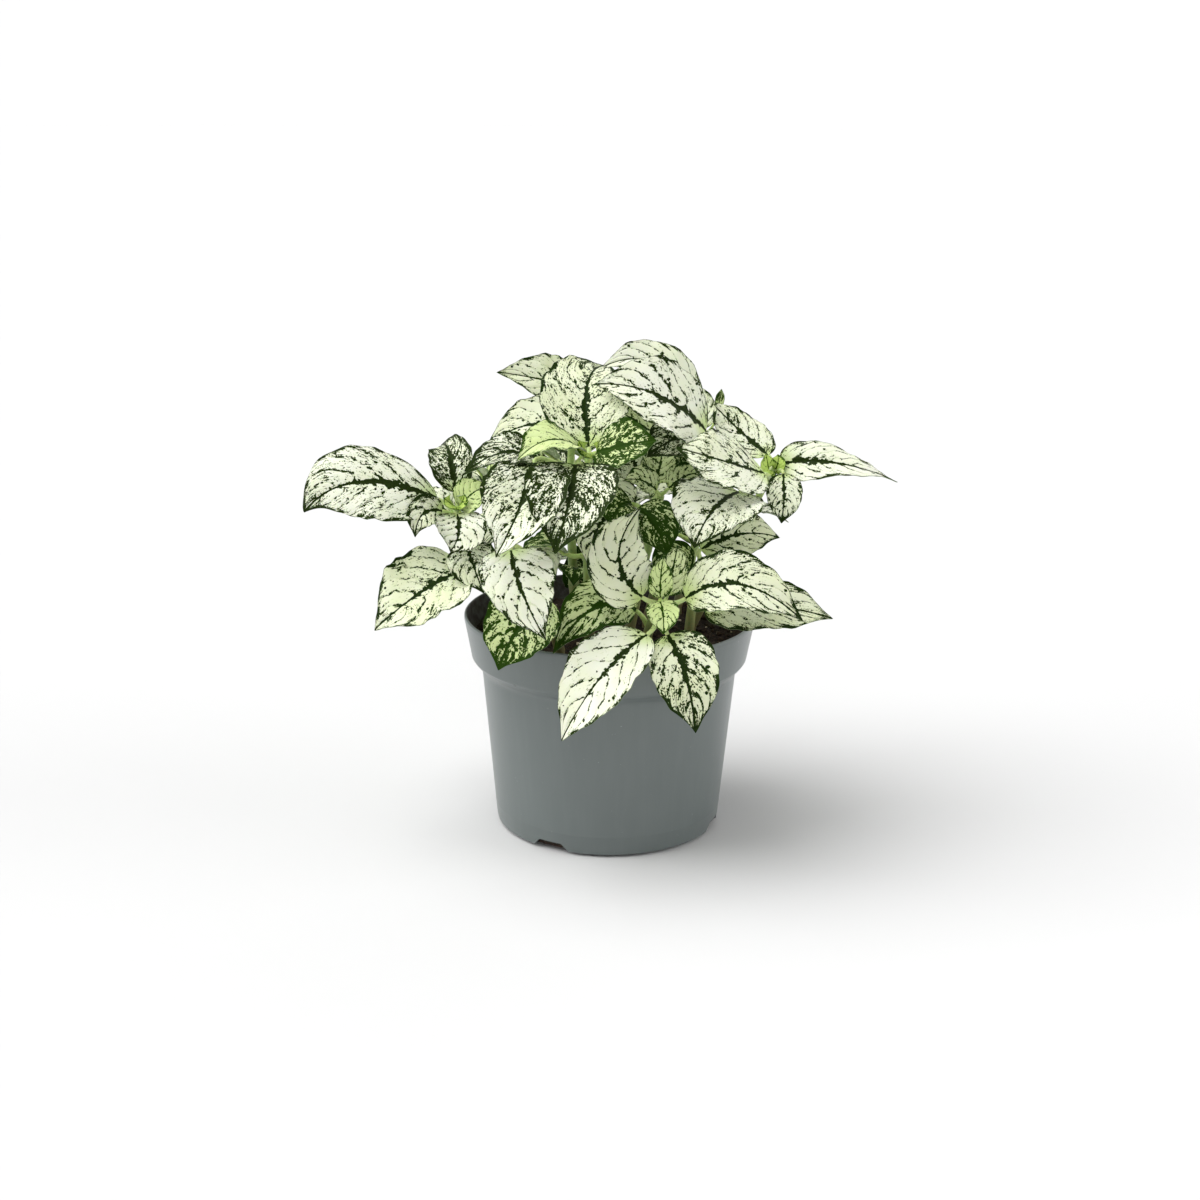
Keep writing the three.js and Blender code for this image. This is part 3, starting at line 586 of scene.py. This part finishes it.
def stem_piece(shoot, material):
    """The stem with its swollen nodes, and the petioles, which run on as the ribs under the blades."""
    parts = Parts()
    curve = stem_curve(shoot)
    rows = leaves_of(shoot)
    steps = np.linspace(0, 1, 40)
    swelling = sum(np.exp(-(((steps - row["at"]) / 0.03) ** 2)) for row in rows)
    radii = [STEM_FOOT_RADIUS + 0.2, STEM_FOOT_RADIUS + 0.05]
    radii += list(np.linspace(STEM_FOOT_RADIUS, STEM_TIP_RADIUS, 40) * (1 + 0.14 * np.minimum(swelling, 1.4)))
    foot = [(*shoot["foot"], SOIL_TOP - STEM_DEPTH), (*shoot["foot"], SOIL_TOP)]
    parts.add(tube([*foot, *bezier(*curve, steps)], radii, 14), (0, 0, 0))
    for row in rows:
        start = bezier(*curve, row["at"])
        midrib = midrib_curve(row)
        reach = float(np.linalg.norm(midrib[0] - start))
        pull = midrib[0] - 0.45 * reach * bezier_direction(*midrib, 0.0)
        stalk = bezier(start, pull, midrib[0], np.linspace(0, 0.94, 9))
        under = np.linspace(0, 0.72, 18)
        size = min(1.0, 0.45 + row["wide"] / 40)
        thin = np.array([*np.linspace(1.15, 0.85, 9), *np.linspace(0.75, 0.12, 18)])
        radii = PETIOLE_RADIUS * size * thin
        rib, _, up = midrib_frame(row, under)
        depth = radii[9:] + RIB_GROOVE * np.sin(np.pi * under) + 0.05
        parts.add(tube([*stalk, *(rib - depth[:, None] * up)], radii, 10), (1, row["young"], 0))
    made = new_object(shoot["name"] + "_stem", parts.points, parts.faces, material)
    paint(made, "stem_tint", parts.tints)
    return made


# Pot


def wall_radius(height):
    """The outside of the pot at a height, on its plain wall or its band."""
    band_foot = POT_HEIGHT - BAND_HEIGHT
    wall_top = band_foot - SHOULDER
    if height <= wall_top:
        return lerp(BASE_RADIUS, WALL_TOP_RADIUS, height / wall_top)
    return lerp(BAND_UNDER_RADIUS, RIM_RADIUS, (height - band_foot - 1) / (BAND_HEIGHT - 1.5))


def ridge(height):
    """A fine moulded ridge round the outside, from its lower side to its upper side."""
    rows = [(-0.5, 0.0), (-0.22, 0.7), (0, 1.0), (0.22, 0.7), (0.5, 0.0)]
    return [(wall_radius(height + step) + LINE_RISE * rise, height + step) for step, rise in rows]


def rounded_shoulder(inset):
    """The step from the plain wall out to the band."""
    foot = POT_HEIGHT - BAND_HEIGHT
    below = [(-0.1, -1.2), (0.05, 0), (0.35, 0.8), (0.9, 1.6), (1.7, 2.5), (2.6, 3.4)]
    above = [(-1.05, -0.8), (-0.55, -0.1), (-0.42, 0), (-0.2, 0.35), (-0.05, 0.7), (0, 1)]
    rows = [(WALL_TOP_RADIUS + out, foot - SHOULDER + up) for out, up in below]
    rows += [(BAND_UNDER_RADIUS + out, foot + up) for out, up in above]
    return [(radius - inset, height) for radius, height in rows]


def pot_outline():
    """Radius and height pairs: up the outside, over the rolled rim and down the inside."""
    foot = [(BASE_RADIUS - FOOT_RECESS, 0.0), (BASE_RADIUS - FOOT_RECESS, FOOT_GAP)]
    for step in range(0, 7):
        angle = math.radians(90 * step / 6)
        foot.append((BASE_RADIUS - FOOT_EDGE * (1 - math.sin(angle)),
                     FOOT_GAP + FOOT_RISE * (1 - math.cos(angle))))
    rim = [(RIM_RADIUS - 0.15, POT_HEIGHT - 2.2), (RIM_RADIUS, POT_HEIGHT - 1.7)]
    for step in range(0, 9):
        angle = math.radians(180 * step / 8)
        rim.append((RIM_RADIUS - WALL / 2 + WALL / 2 * math.cos(angle),
                    POT_HEIGHT - 0.65 + 0.65 * math.sin(angle)))
    inside = [(RIM_RADIUS - WALL - 0.1, POT_HEIGHT - 2)]
    inside += rounded_shoulder(WALL)[::-1]
    inside += [(BASE_RADIUS - WALL, FLOOR + 0.8), (BASE_RADIUS - WALL - 0.6, FLOOR)]
    outside = [*foot, (wall_radius(4), 4), *ridge(FOOT_LINE_HEIGHT), (wall_radius(30), 30)]
    outside += rounded_shoulder(0)
    return [*outside, *rim, *inside]


def circle(radius, height, sides):
    """Points evenly round the axis at a height."""
    angles = [2 * math.pi * side / sides for side in range(sides)]
    return [(radius * math.cos(angle), radius * math.sin(angle), height) for angle in angles]


def turned(outline, sides):
    """Points and faces of a solid of revolution, closed by a point on the axis at each end."""
    points = [(0, 0, outline[0][1])]
    for radius, height in outline:
        points += circle(radius, height, sides)
    points.append((0, 0, outline[-1][1]))
    faces = []
    last = 1 + (len(outline) - 1) * sides
    for side in range(sides):
        after = (side + 1) % sides
        faces += [(0, 1 + after, 1 + side), (last + side, last + after, len(points) - 1)]
        for ring in range(len(outline) - 1):
            a, b = 1 + ring * sides + side, 1 + ring * sides + after
            faces.append((a, b, b + sides, a + sides))
    return points, faces


def notch_cutter(azimuth):
    """A wedge that cuts one drainage notch out of the wall and the floor's edge."""
    half_top, half_foot = NOTCH_TOP_WIDTH / 2, NOTCH_FOOT_WIDTH / 2
    right = [(half_foot, -1), (half_top + 0.5, NOTCH_HEIGHT - NOTCH_SOFT),
             (half_top - 0.1, NOTCH_HEIGHT - 0.25), (half_top - NOTCH_SOFT, NOTCH_HEIGHT)]
    outline = [(-half_foot, -1), *right, *((-x, z) for x, z in right[:0:-1])]
    points = []
    for depth in (BASE_RADIUS - NOTCH_REACH, BASE_RADIUS + 2):
        points += [(x, -depth, z) for x, z in outline]
    count = len(outline)
    faces = [tuple(range(count))[::-1], tuple(count + i for i in range(count))]
    for i in range(count):
        after = (i + 1) % count
        faces.append((i, after, count + after, count + i))
    turn = Matrix.Rotation(math.radians(azimuth), 3, "Z")
    return [tuple(turn @ Vector(point)) for point in points], faces


def make_pot(material):
    pot = new_object("pot_moulding", *turned(pot_outline(), POT_SIDES), material, smooth_angle=35)
    cutters = Parts()
    for azimuth in NOTCH_AZIMUTHS:
        cutters.add(notch_cutter(azimuth), (0, 0, 0))
    cutter = new_object("notches", cutters.points, cutters.faces, material)
    for made in (pot, cutter):
        outwards(made)
    cut = pot.modifiers.new("notches", "BOOLEAN")
    cut.operation = "DIFFERENCE"
    cut.solver = "EXACT"
    cut.object = cutter
    bpy.context.view_layer.update()
    shaped = bpy.data.meshes.new_from_object(pot.evaluated_get(bpy.context.evaluated_depsgraph_get()))
    pot.modifiers.clear()
    pot.data = shaped
    shaped.set_sharp_from_angle(angle=math.radians(35))
    bpy.data.objects.remove(cutter)
    finish_piece(pot, "pot_plastic", "pot")


def outwards(made):
    """Turns every face of a closed mesh to the outside."""
    shape = bmesh.new()
    shape.from_mesh(made.data)
    bmesh.ops.recalc_face_normals(shape, faces=shape.faces)
    shape.to_mesh(made.data)
    shape.free()


# Soil


def soil_height(x, y):
    """The crumbled surface: the broad bumps of the part's source, and fine crumbs on them."""
    broad = math.sin(0.17 * x + 1) * math.cos(0.15 * y - 0.4)
    fine = math.sin(0.61 * x - 0.33 * y) * math.cos(0.47 * y + 0.29 * x + 2)
    lumps = noise.fractal(Vector((0.33 * x, 0.33 * y, 3.1)), 0.8, 2.1, 4)
    return SOIL_TOP + SOIL_BUMPS * (0.6 * broad + 0.4 * fine) + 0.85 * lumps


def crumb(rng, x, y, size):
    """One uneven lump that lies on the soil: points and faces."""
    points, faces = icosphere()
    squash = Vector((rng.uniform(0.7, 1.3), rng.uniform(0.7, 1.3), rng.uniform(0.5, 0.9)))
    spin = Matrix.Rotation(rng.uniform(0, 6.28), 3, "Z") @ Matrix.Rotation(rng.uniform(-0.6, 0.6), 3, "X")
    offset = Vector((rng.uniform(0, 90), rng.uniform(0, 90), 0))
    centre = Vector((x, y, soil_height(x, y) + 0.1 * size))
    made = []
    for point in points:
        bump = 1 + 0.45 * noise.noise(1.7 * point + offset)
        made.append(centre + size * bump * (spin @ Vector(p * q for p, q in zip(point, squash))))
    return made, faces


def icosphere():
    shape = bmesh.new()
    bmesh.ops.create_icosphere(shape, subdivisions=2, radius=1)
    points = [vertex.co.copy() for vertex in shape.verts]
    faces = [tuple(vertex.index for vertex in face.verts) for face in shape.faces]
    shape.free()
    return points, faces


def make_soil(material):
    inset = WALL + SEAT_GAP
    edge = wall_radius(SOIL_TOP) - inset
    side = [(BASE_RADIUS - inset - 0.1, FLOOR + SEAT_GAP)]
    side += [(radius - inset, height) for radius, height in rounded_shoulder(0)]
    top = [(edge * math.sqrt(1 - i / SOIL_RINGS), SOIL_TOP) for i in range(SOIL_RINGS)]
    points, faces = turned([*side, *top], SOIL_SIDES)
    first = 1 + len(side) * SOIL_SIDES
    for i in range(first, len(points)):
        x, y, _ = points[i]
        points[i] = (x, y, soil_height(x, y))
    parts = Parts()
    parts.add((points, faces), (0, 0, 0))
    rng = random.Random(12)
    for i in range(CRUMBS + PALE_GRAINS):
        away, compass = (edge - 2) * math.sqrt(rng.random()), rng.uniform(0, 2 * math.pi)
        pale = i >= CRUMBS
        size = rng.uniform(0.45, 0.95) if pale else 0.6 + 1.5 * rng.random() ** 3
        shape = crumb(rng, away * math.cos(compass), away * math.sin(compass), size)
        parts.add(shape, (rng.random(), 1 if pale else 0, 0))
    soil = new_object("soil_crumbs", parts.points, parts.faces, material, smooth_angle=60)
    paint(soil, "soil_tint", parts.tints)
    finish_piece(soil, "soil", "soil")


# Materials


class Nodes:
    """Short calls that add and link the nodes of one material."""

    def __init__(self, name):
        self.material = bpy.data.materials.new(name)
        self.material.use_nodes = True
        self.tree = self.material.node_tree
        self.tree.nodes.clear()
        self.shader = self.new("BsdfPrincipled")
        self.tree.links.new(self.shader.outputs["BSDF"], self.new("OutputMaterial").inputs["Surface"])

    def new(self, kind):
        return self.tree.nodes.new("ShaderNode" + kind)

    def put(self, value, socket):
        """Links another node's output into a socket, or sets the socket to a plain value."""
        if isinstance(value, bpy.types.NodeSocket):
            self.tree.links.new(value, socket)
        else:
            socket.default_value = value

    def attribute(self, name):
        node = self.new("Attribute")
        node.attribute_name = name
        return node.outputs["Vector"]

    def parts(self, vector):
        """The three numbers of a vector."""
        node = self.new("SeparateXYZ")
        self.put(vector, node.inputs[0])
        return node.outputs

    def vector(self, x, y, z):
        node = self.new("CombineXYZ")
        for value, socket in zip((x, y, z), node.inputs):
            self.put(value, socket)
        return node.outputs[0]

    def math(self, operation, *values):
        node = self.new("Math")
        node.operation = operation
        for value, socket in zip(values, node.inputs):
            self.put(value, socket)
        return node.outputs[0]

    def chain(self, operation, total, *values):
        for value in values:
            total = self.math(operation, total, value)
        return total

    def add(self, *values):
        return self.chain("ADD", *values)

    def times(self, *values):
        return self.chain("MULTIPLY", *values)

    def ramp(self, value, low, high, start=0.0, end=1.0):
        """Goes smoothly from start to end while value goes from low to high."""
        node = self.new("MapRange")
        node.interpolation_type = "SMOOTHSTEP"
        for number, socket in zip((value, low, high, start, end), node.inputs):
            self.put(number, socket)
        return node.outputs[0]

    def noise(self, place, scale, detail=2.0, roughness=0.5, distortion=0.0):
        node = self.new("TexNoise")
        self.put(place, node.inputs["Vector"])
        node.inputs["Scale"].default_value = scale
        node.inputs["Detail"].default_value = detail
        node.inputs["Roughness"].default_value = roughness
        node.inputs["Distortion"].default_value = distortion
        return node.outputs["Fac"]

    def chance(self, place):
        """One random number for each place, the same on every run."""
        node = self.new("TexWhiteNoise")
        self.put(place, node.inputs["Vector"])
        return node.outputs["Value"]

    def warp(self, place, scale, reach):
        """A place moved about by a soft noise."""
        wave = self.new("TexNoise")
        self.put(place, wave.inputs["Vector"])
        wave.inputs["Scale"].default_value = scale
        wave.inputs["Detail"].default_value = 2
        move = self.new("VectorMath")
        move.operation = "MULTIPLY_ADD"
        self.put(wave.outputs["Color"], move.inputs[0])
        move.inputs[1].default_value = (reach, reach, 0)
        self.put(place, move.inputs[2])
        return move.outputs[0]

    def cells(self, place, scale):
        """The distance to the border between two cells of an uneven net."""
        node = self.new("TexVoronoi")
        node.feature = "DISTANCE_TO_EDGE"
        self.put(place, node.inputs["Vector"])
        node.inputs["Scale"].default_value = scale
        return node.outputs["Distance"]

    def spots(self, place, scale, share, size):
        """Uneven round spots, one in each cell of a net that draws a number below share."""
        node = self.new("TexVoronoi")
        self.put(self.warp(place, 1.4, 0.7), node.inputs["Vector"])
        node.inputs["Scale"].default_value = scale
        drawn, wide, _ = self.parts(node.outputs["Color"])
        reach = self.times(size, self.add(wide, 0.4), self.math("LESS_THAN", drawn, share))
        return self.ramp(self.math("SUBTRACT", reach, node.outputs["Distance"]), -0.01, 0.03)

    def distance(self, place, point):
        node = self.new("VectorMath")
        node.operation = "DISTANCE"
        self.put(place, node.inputs[0])
        node.inputs[1].default_value = point
        return node.outputs["Value"]

    def mix(self, share, one, other):
        node = self.new("Mix")
        node.data_type = "RGBA"
        self.put(share, node.inputs[0])
        for value, socket in ((one, node.inputs[6]), (other, node.inputs[7])):
            self.put((*value, 1) if isinstance(value, tuple) else value, socket)
        return node.outputs[2]

    def bump(self, height, strength, distance):
        node = self.new("Bump")
        node.inputs["Strength"].default_value = strength
        node.inputs["Distance"].default_value = distance
        self.put(height, node.inputs["Height"])
        self.tree.links.new(node.outputs[0], self.shader.inputs["Normal"])

    def place(self):
        """The object's own coordinates, in metres."""
        return self.new("TexCoord").outputs["Object"]

    def set(self, **values):
        """Sets the shader's sockets, written with _ for a blank."""
        for name, value in values.items():
            socket = self.shader.inputs[name.replace("_", " ").title().replace("Ior", "IOR")]
            self.put((*value, 1) if name.endswith("color") and isinstance(value, tuple) else value, socket)
        return self.material


def leaf_material():
    """Cream blade, green veins with ragged edges, dots that crowd along veins and margin."""
    n = Nodes("leaf")
    place = n.attribute("leaf_place")
    flat, _, seed = n.parts(place)
    phase, edge, s = n.parts(n.attribute("leaf_lines"))
    speckle, veins, young = n.parts(n.attribute("leaf_look"))
    under, gap, cream = n.parts(n.attribute("leaf_side"))
    away = n.math("ABSOLUTE", flat)
    side = n.math("SIGN", flat)
    patches = n.noise(place, 0.16, 1)
    ragged = n.noise(place, 1.9, 2)
    uneven = n.noise(place, 0.5, 1)

    # side veins: the distance in millimetres to the nearest one, each drawn with a strength of its own
    wobble = n.add(n.times(n.add(n.noise(place, 0.22, 1), -0.5), 0.6), n.times(n.add(ragged, -0.5), 0.12))
    bent = n.add(phase, wobble)
    to_vein = n.times(n.math("PINGPONG", bent, 0.5), gap)
    own = n.chance(n.vector(n.math("ROUND", bent), side, seed))
    broken = n.ramp(uneven, 0.4, 0.54, 0.05, 1)
    outer = n.ramp(away, 2, 15, 1.2, 0.45)
    reach = n.times(veins, n.ramp(own, 0.1, 0.9, 0.45, 1.2), broken, outer, n.ramp(s, 0.84, 0.96, 1, 0))

    # a net that joins the dots where they are dense
    to_net = n.cells(n.warp(place, 0.5, 1.6), 0.5)
    net = n.times(n.ramp(to_net, 0.03, 0.16, 1, 0), n.ramp(uneven, 0.4, 0.6, 0.2, 1), speckle)

    # dots are longer along the side veins
    streaks = n.vector(n.times(phase, gap, 1.2), n.times(away, 0.95), n.add(seed, side))
    dots = n.add(n.times(n.noise(streaks, 1.1, 2, 0.55, 0.7), 0.62), n.times(ragged, 0.38))

    # how much of the blade is green here
    belly = n.math("POWER", n.ramp(n.math("ABSOLUTE", n.add(s, -0.28)), 0, 0.45, 1, 0), 1.3)
    rib_half = n.add(0.14, n.times(belly, veins, n.ramp(uneven, 0.3, 0.7, 0.08, 0.66)))
    rib = n.ramp(n.math("DIVIDE", away, rib_half), 0.3, 3.2, 1.15, 0)
    core = n.ramp(to_vein, 0.06, 0.3, 0.85, 0)
    fringe = n.ramp(to_vein, 0.1, 1.1, 0.38, 0)
    margin = n.times(n.ramp(edge, 0.2, 2.4, 0.5, 0), n.ramp(patches, 0.4, 0.6, 0.4, 1.3))
    calm = n.ramp(speckle, 0.1, 0.5, 1, 0.45)
    near_tip = n.times(n.ramp(s, 0.7, 0.96, 0, 0.3), n.ramp(speckle, 0.12, 0.4))
    green = n.add(speckle, near_tip, rib, n.times(calm, reach, n.add(core, fringe)), n.times(net, 0.35),
                  n.times(margin, 0.8), n.times(n.add(patches, -0.5), 0.85, calm))
    limit = n.math("SUBTRACT", 0.69, n.times(green, 0.40))
    marks = n.ramp(n.math("SUBTRACT", dots, limit), -0.015, 0.02)
    halo = n.ramp(n.math("SUBTRACT", dots, limit), -0.09, 0.01)
    line = n.ramp(edge, 0.12, 0.28, n.ramp(uneven, 0.35, 0.5, 0.45, 0.9), 0)
    marks = n.math("MAXIMUM", marks, line)
    crowd = n.add(0.38, n.times(margin, 1.1), n.times(reach, n.ramp(to_vein, 0.2, 1.5, 0.7, 0)))
    marks = n.math("MAXIMUM", marks, n.spots(place, 0.42, crowd, 0.2))

    tone = n.noise(place, 0.07, 2)
    ground = n.mix(n.math("MINIMUM", n.add(cream, n.ramp(tone, 0.35, 0.7, -0.1, 0.3)), 1),
                   LEAF_WHITE, LEAF_CREAM)
    fresh = n.math("MAXIMUM", young, n.ramp(n.add(s, n.times(away, 0.01)), 0.02, 0.22, 0.6, 0))
    ground = n.mix(fresh, ground, LEAF_FRESH)
    faint = n.math("MAXIMUM", n.times(n.ramp(to_vein, 0.05, 0.35, 0.3, 0), outer), n.times(halo, 0.34))
    ground = n.mix(faint, ground, LEAF_FAINT_VEIN)
    deep = n.mix(cream, MARK_ON_WHITE, MARK_ON_CREAM)
    deep = n.mix(n.ramp(ragged, 0.4, 0.7, 0, 0.25), deep, MARK_LIGHT)
    deep = n.mix(young, deep, MARK_YOUNG)
    top = n.mix(marks, ground, deep)
    back = n.mix(n.times(marks, 0.65), UNDERSIDE, UNDERSIDE_MARK)
    colour = n.mix(under, top, back)

    grooves = n.add(n.ramp(to_vein, 0, 0.9, -0.6, 0), n.ramp(away, 0, 0.8, -1, 0), n.times(ragged, 0.4))
    n.bump(grooves, 0.5, 0.0004)
    rough = n.add(0.5, n.times(tone, 0.14), n.times(marks, -0.04))
    return n.set(base_color=colour, roughness=rough, subsurface_weight=0.14, subsurface_scale=0.0006,
                 subsurface_radius=(0.6, 1.0, 0.25), specular_ior_level=0.06)


def stem_material():
    """Pale green stems, browner near the soil, with fresher petioles."""
    n = Nodes("stem")
    petiole, young, _ = n.parts(n.attribute("stem_tint"))
    place = n.place()
    height = n.parts(place)[2]
    stem = n.mix(n.ramp(height, 0.082, 0.115), STEM_LOW, STEM_HIGH)
    fresh = n.mix(young, PETIOLE, PETIOLE_YOUNG)
    colour = n.mix(petiole, stem, fresh)
    flecks = n.ramp(n.noise(place, 900, 2, 0.6), 0.56, 0.68, 0, 0.5)
    colour = n.mix(flecks, colour, STEM_FLECK)
    n.bump(n.noise(place, 1400, 2), 0.35, 0.0002)
    return n.set(base_color=colour, roughness=0.5, subsurface_weight=0.1, subsurface_scale=0.002)


def pot_material():
    """Satin grey plastic, with faint streaks, a fine grain, and traces of soil with painted shade on the
    inside under the rim.
    """
    n = Nodes("pot_plastic")
    place = n.place()
    x, y, z = n.parts(place)
    clouds = n.noise(place, 22, 3, 0.55)
    streaks = n.noise(n.vector(n.times(x, 260), n.times(y, 260), n.times(z, 14)), 1, 3, 0.6)
    colour = n.mix(clouds, POT_DARK, POT_LIGHT)
    colour = n.mix(n.ramp(streaks, 0.35, 0.75, 0, 0.16), colour, POT_STREAK)
    radius = n.math("SQRT", n.add(n.times(x, x), n.times(y, y)))
    # soil traces and painted shade inside, above the soil: the inner wall there is painted near black; the
    # middle of the band's wall parts the inside from the outside
    foot, slope = POT_HEIGHT - BAND_HEIGHT, (RIM_RADIUS - BAND_UNDER_RADIUS) / BAND_HEIGHT
    middle = n.add((BAND_UNDER_RADIUS - 0.8) * MM, n.times(n.add(z, -foot * MM), slope))
    within = n.ramp(n.math("SUBTRACT", radius, middle), -0.0002, 0.0002, 1, 0)
    inside = n.times(within, n.ramp(z, 0.076, 0.078))
    soil_and_shade = n.times(inside, n.ramp(n.noise(place, 260, 4, 0.65), 0.35, 0.6, 0.7, 1))
    colour = n.mix(soil_and_shade, colour, POT_SOIL_AND_SHADE)
    mark = n.distance(place, [value * MM for value in MOULD_MARK])
    colour = n.mix(n.ramp(mark, 0.0004, 0.0009, 0.75, 0), colour, POT_MARK)
    specks = n.ramp(n.noise(place, 900, 2, 0.5), 0.74, 0.78, 0, 0.5)
    colour = n.mix(specks, colour, POT_SPECK)
    rough = n.add(0.28, n.times(clouds, 0.1), n.times(soil_and_shade, 0.4))
    grain = n.add(n.noise(place, 1500, 2, 0.6), n.times(streaks, 0.5))
    n.bump(grain, 0.12, 0.0002)
    return n.set(base_color=colour, roughness=rough, specular_ior_level=0.6)


def soil_material():
    """Dark damp potting soil with brown fibres and a few pale grains."""
    n = Nodes("soil")
    tone, pale, _ = n.parts(n.attribute("soil_tint"))
    place = n.place()
    fine = n.noise(place, 1100, 4, 0.7)
    broad = n.noise(place, 160, 2)
    colour = n.mix(n.ramp(fine, 0.4, 0.72), SOIL_DARK, SOIL_BROWN)
    colour = n.mix(n.times(tone, broad, 0.7), colour, SOIL_FIBRE)
    grain = n.mix(fine, GRAIN_DARK, GRAIN_PALE)
    colour = n.mix(n.times(pale, n.ramp(tone, 0.15, 0.9, 0.35, 1)), colour, grain)
    n.bump(fine, 0.8, 0.0006)
    return n.set(base_color=colour, roughness=0.9, specular_ior_level=0.25)


def floor_material():
    n = Nodes("floor")
    return n.set(base_color=FLOOR_GREY, roughness=0.8, specular_ior_level=0.1)


# The scene round the object


def make_floor():
    """A pale floor, flat round the object and rising far away so that it fills the background."""
    sides, rings = 48, [(2, 0), (5, 0), (40, 4), (60, 12)]
    points, faces = [], [tuple(range(sides))]
    for radius, height in rings:
        points += circle(radius, height, sides)
    for ring in range(len(rings) - 1):
        for side in range(sides):
            a, b = ring * sides + side, ring * sides + (side + 1) % sides
            faces.append((a, a + sides, b + sides, b))
    mesh = bpy.data.meshes.new("floor")
    mesh.from_pydata(points, [], faces)
    mesh.materials.append(floor_material())
    add_to_scene("floor", mesh)


def make_camera():
    data = bpy.data.cameras.new("camera")
    data.lens = CAMERA_LENS
    data.sensor_width = 36
    data.clip_start = 0.01
    camera = add_to_scene("camera", data)
    tilt = Matrix.Rotation(math.radians(90 - CAMERA_PITCH), 4, "X")
    roll = Matrix.Rotation(math.radians(CAMERA_ROLL), 4, "Z")
    camera.matrix_world = Matrix.Translation(Vector(CAMERA_PLACE) * MM) @ tilt @ roll
    bpy.context.scene.camera = camera


def make_lamp(name, towards, strength, softness):
    """A large soft lamp, far away, that shines in a direction. Softness is its width in degrees."""
    data = bpy.data.lights.new(name, "SUN")
    data.energy = strength
    data.angle = math.radians(softness)
    lamp = add_to_scene(name, data)
    lamp.rotation_euler = Vector(towards).to_track_quat("-Z", "Y").to_euler()


def make_studio():
    """The lamps and a pale room: most light comes from high on the left."""
    for name, (towards, strength, softness) in LAMPS.items():
        make_lamp(name, towards, strength, softness)
    world = bpy.data.worlds.new("room")
    world.use_nodes = True
    background = world.node_tree.nodes["Background"]
    background.inputs["Color"].default_value = (1, 1, 1, 1)
    background.inputs["Strength"].default_value = ROOM_LIGHT
    bpy.context.scene.world = world
    bpy.context.scene.view_settings.view_transform = "Standard"


def make_plant():
    leaf_look, stem_look = leaf_material(), stem_material()
    for number, shoot in enumerate(SHOOTS):
        finish_piece(stem_piece(shoot, stem_look), "leaf", shoot["name"])
        for index, row in enumerate(leaves_of(shoot)):
            name = f"{shoot['name']}_leaf_{index + 1:02d}"
            piece = blade(name, row, 0.37 * index, number + 0.37 * index, leaf_look)
            finish_piece(piece, "leaf", shoot["name"])


make_camera()
make_studio()
make_floor()
make_pot(pot_material())
make_soil(soil_material())
make_plant()
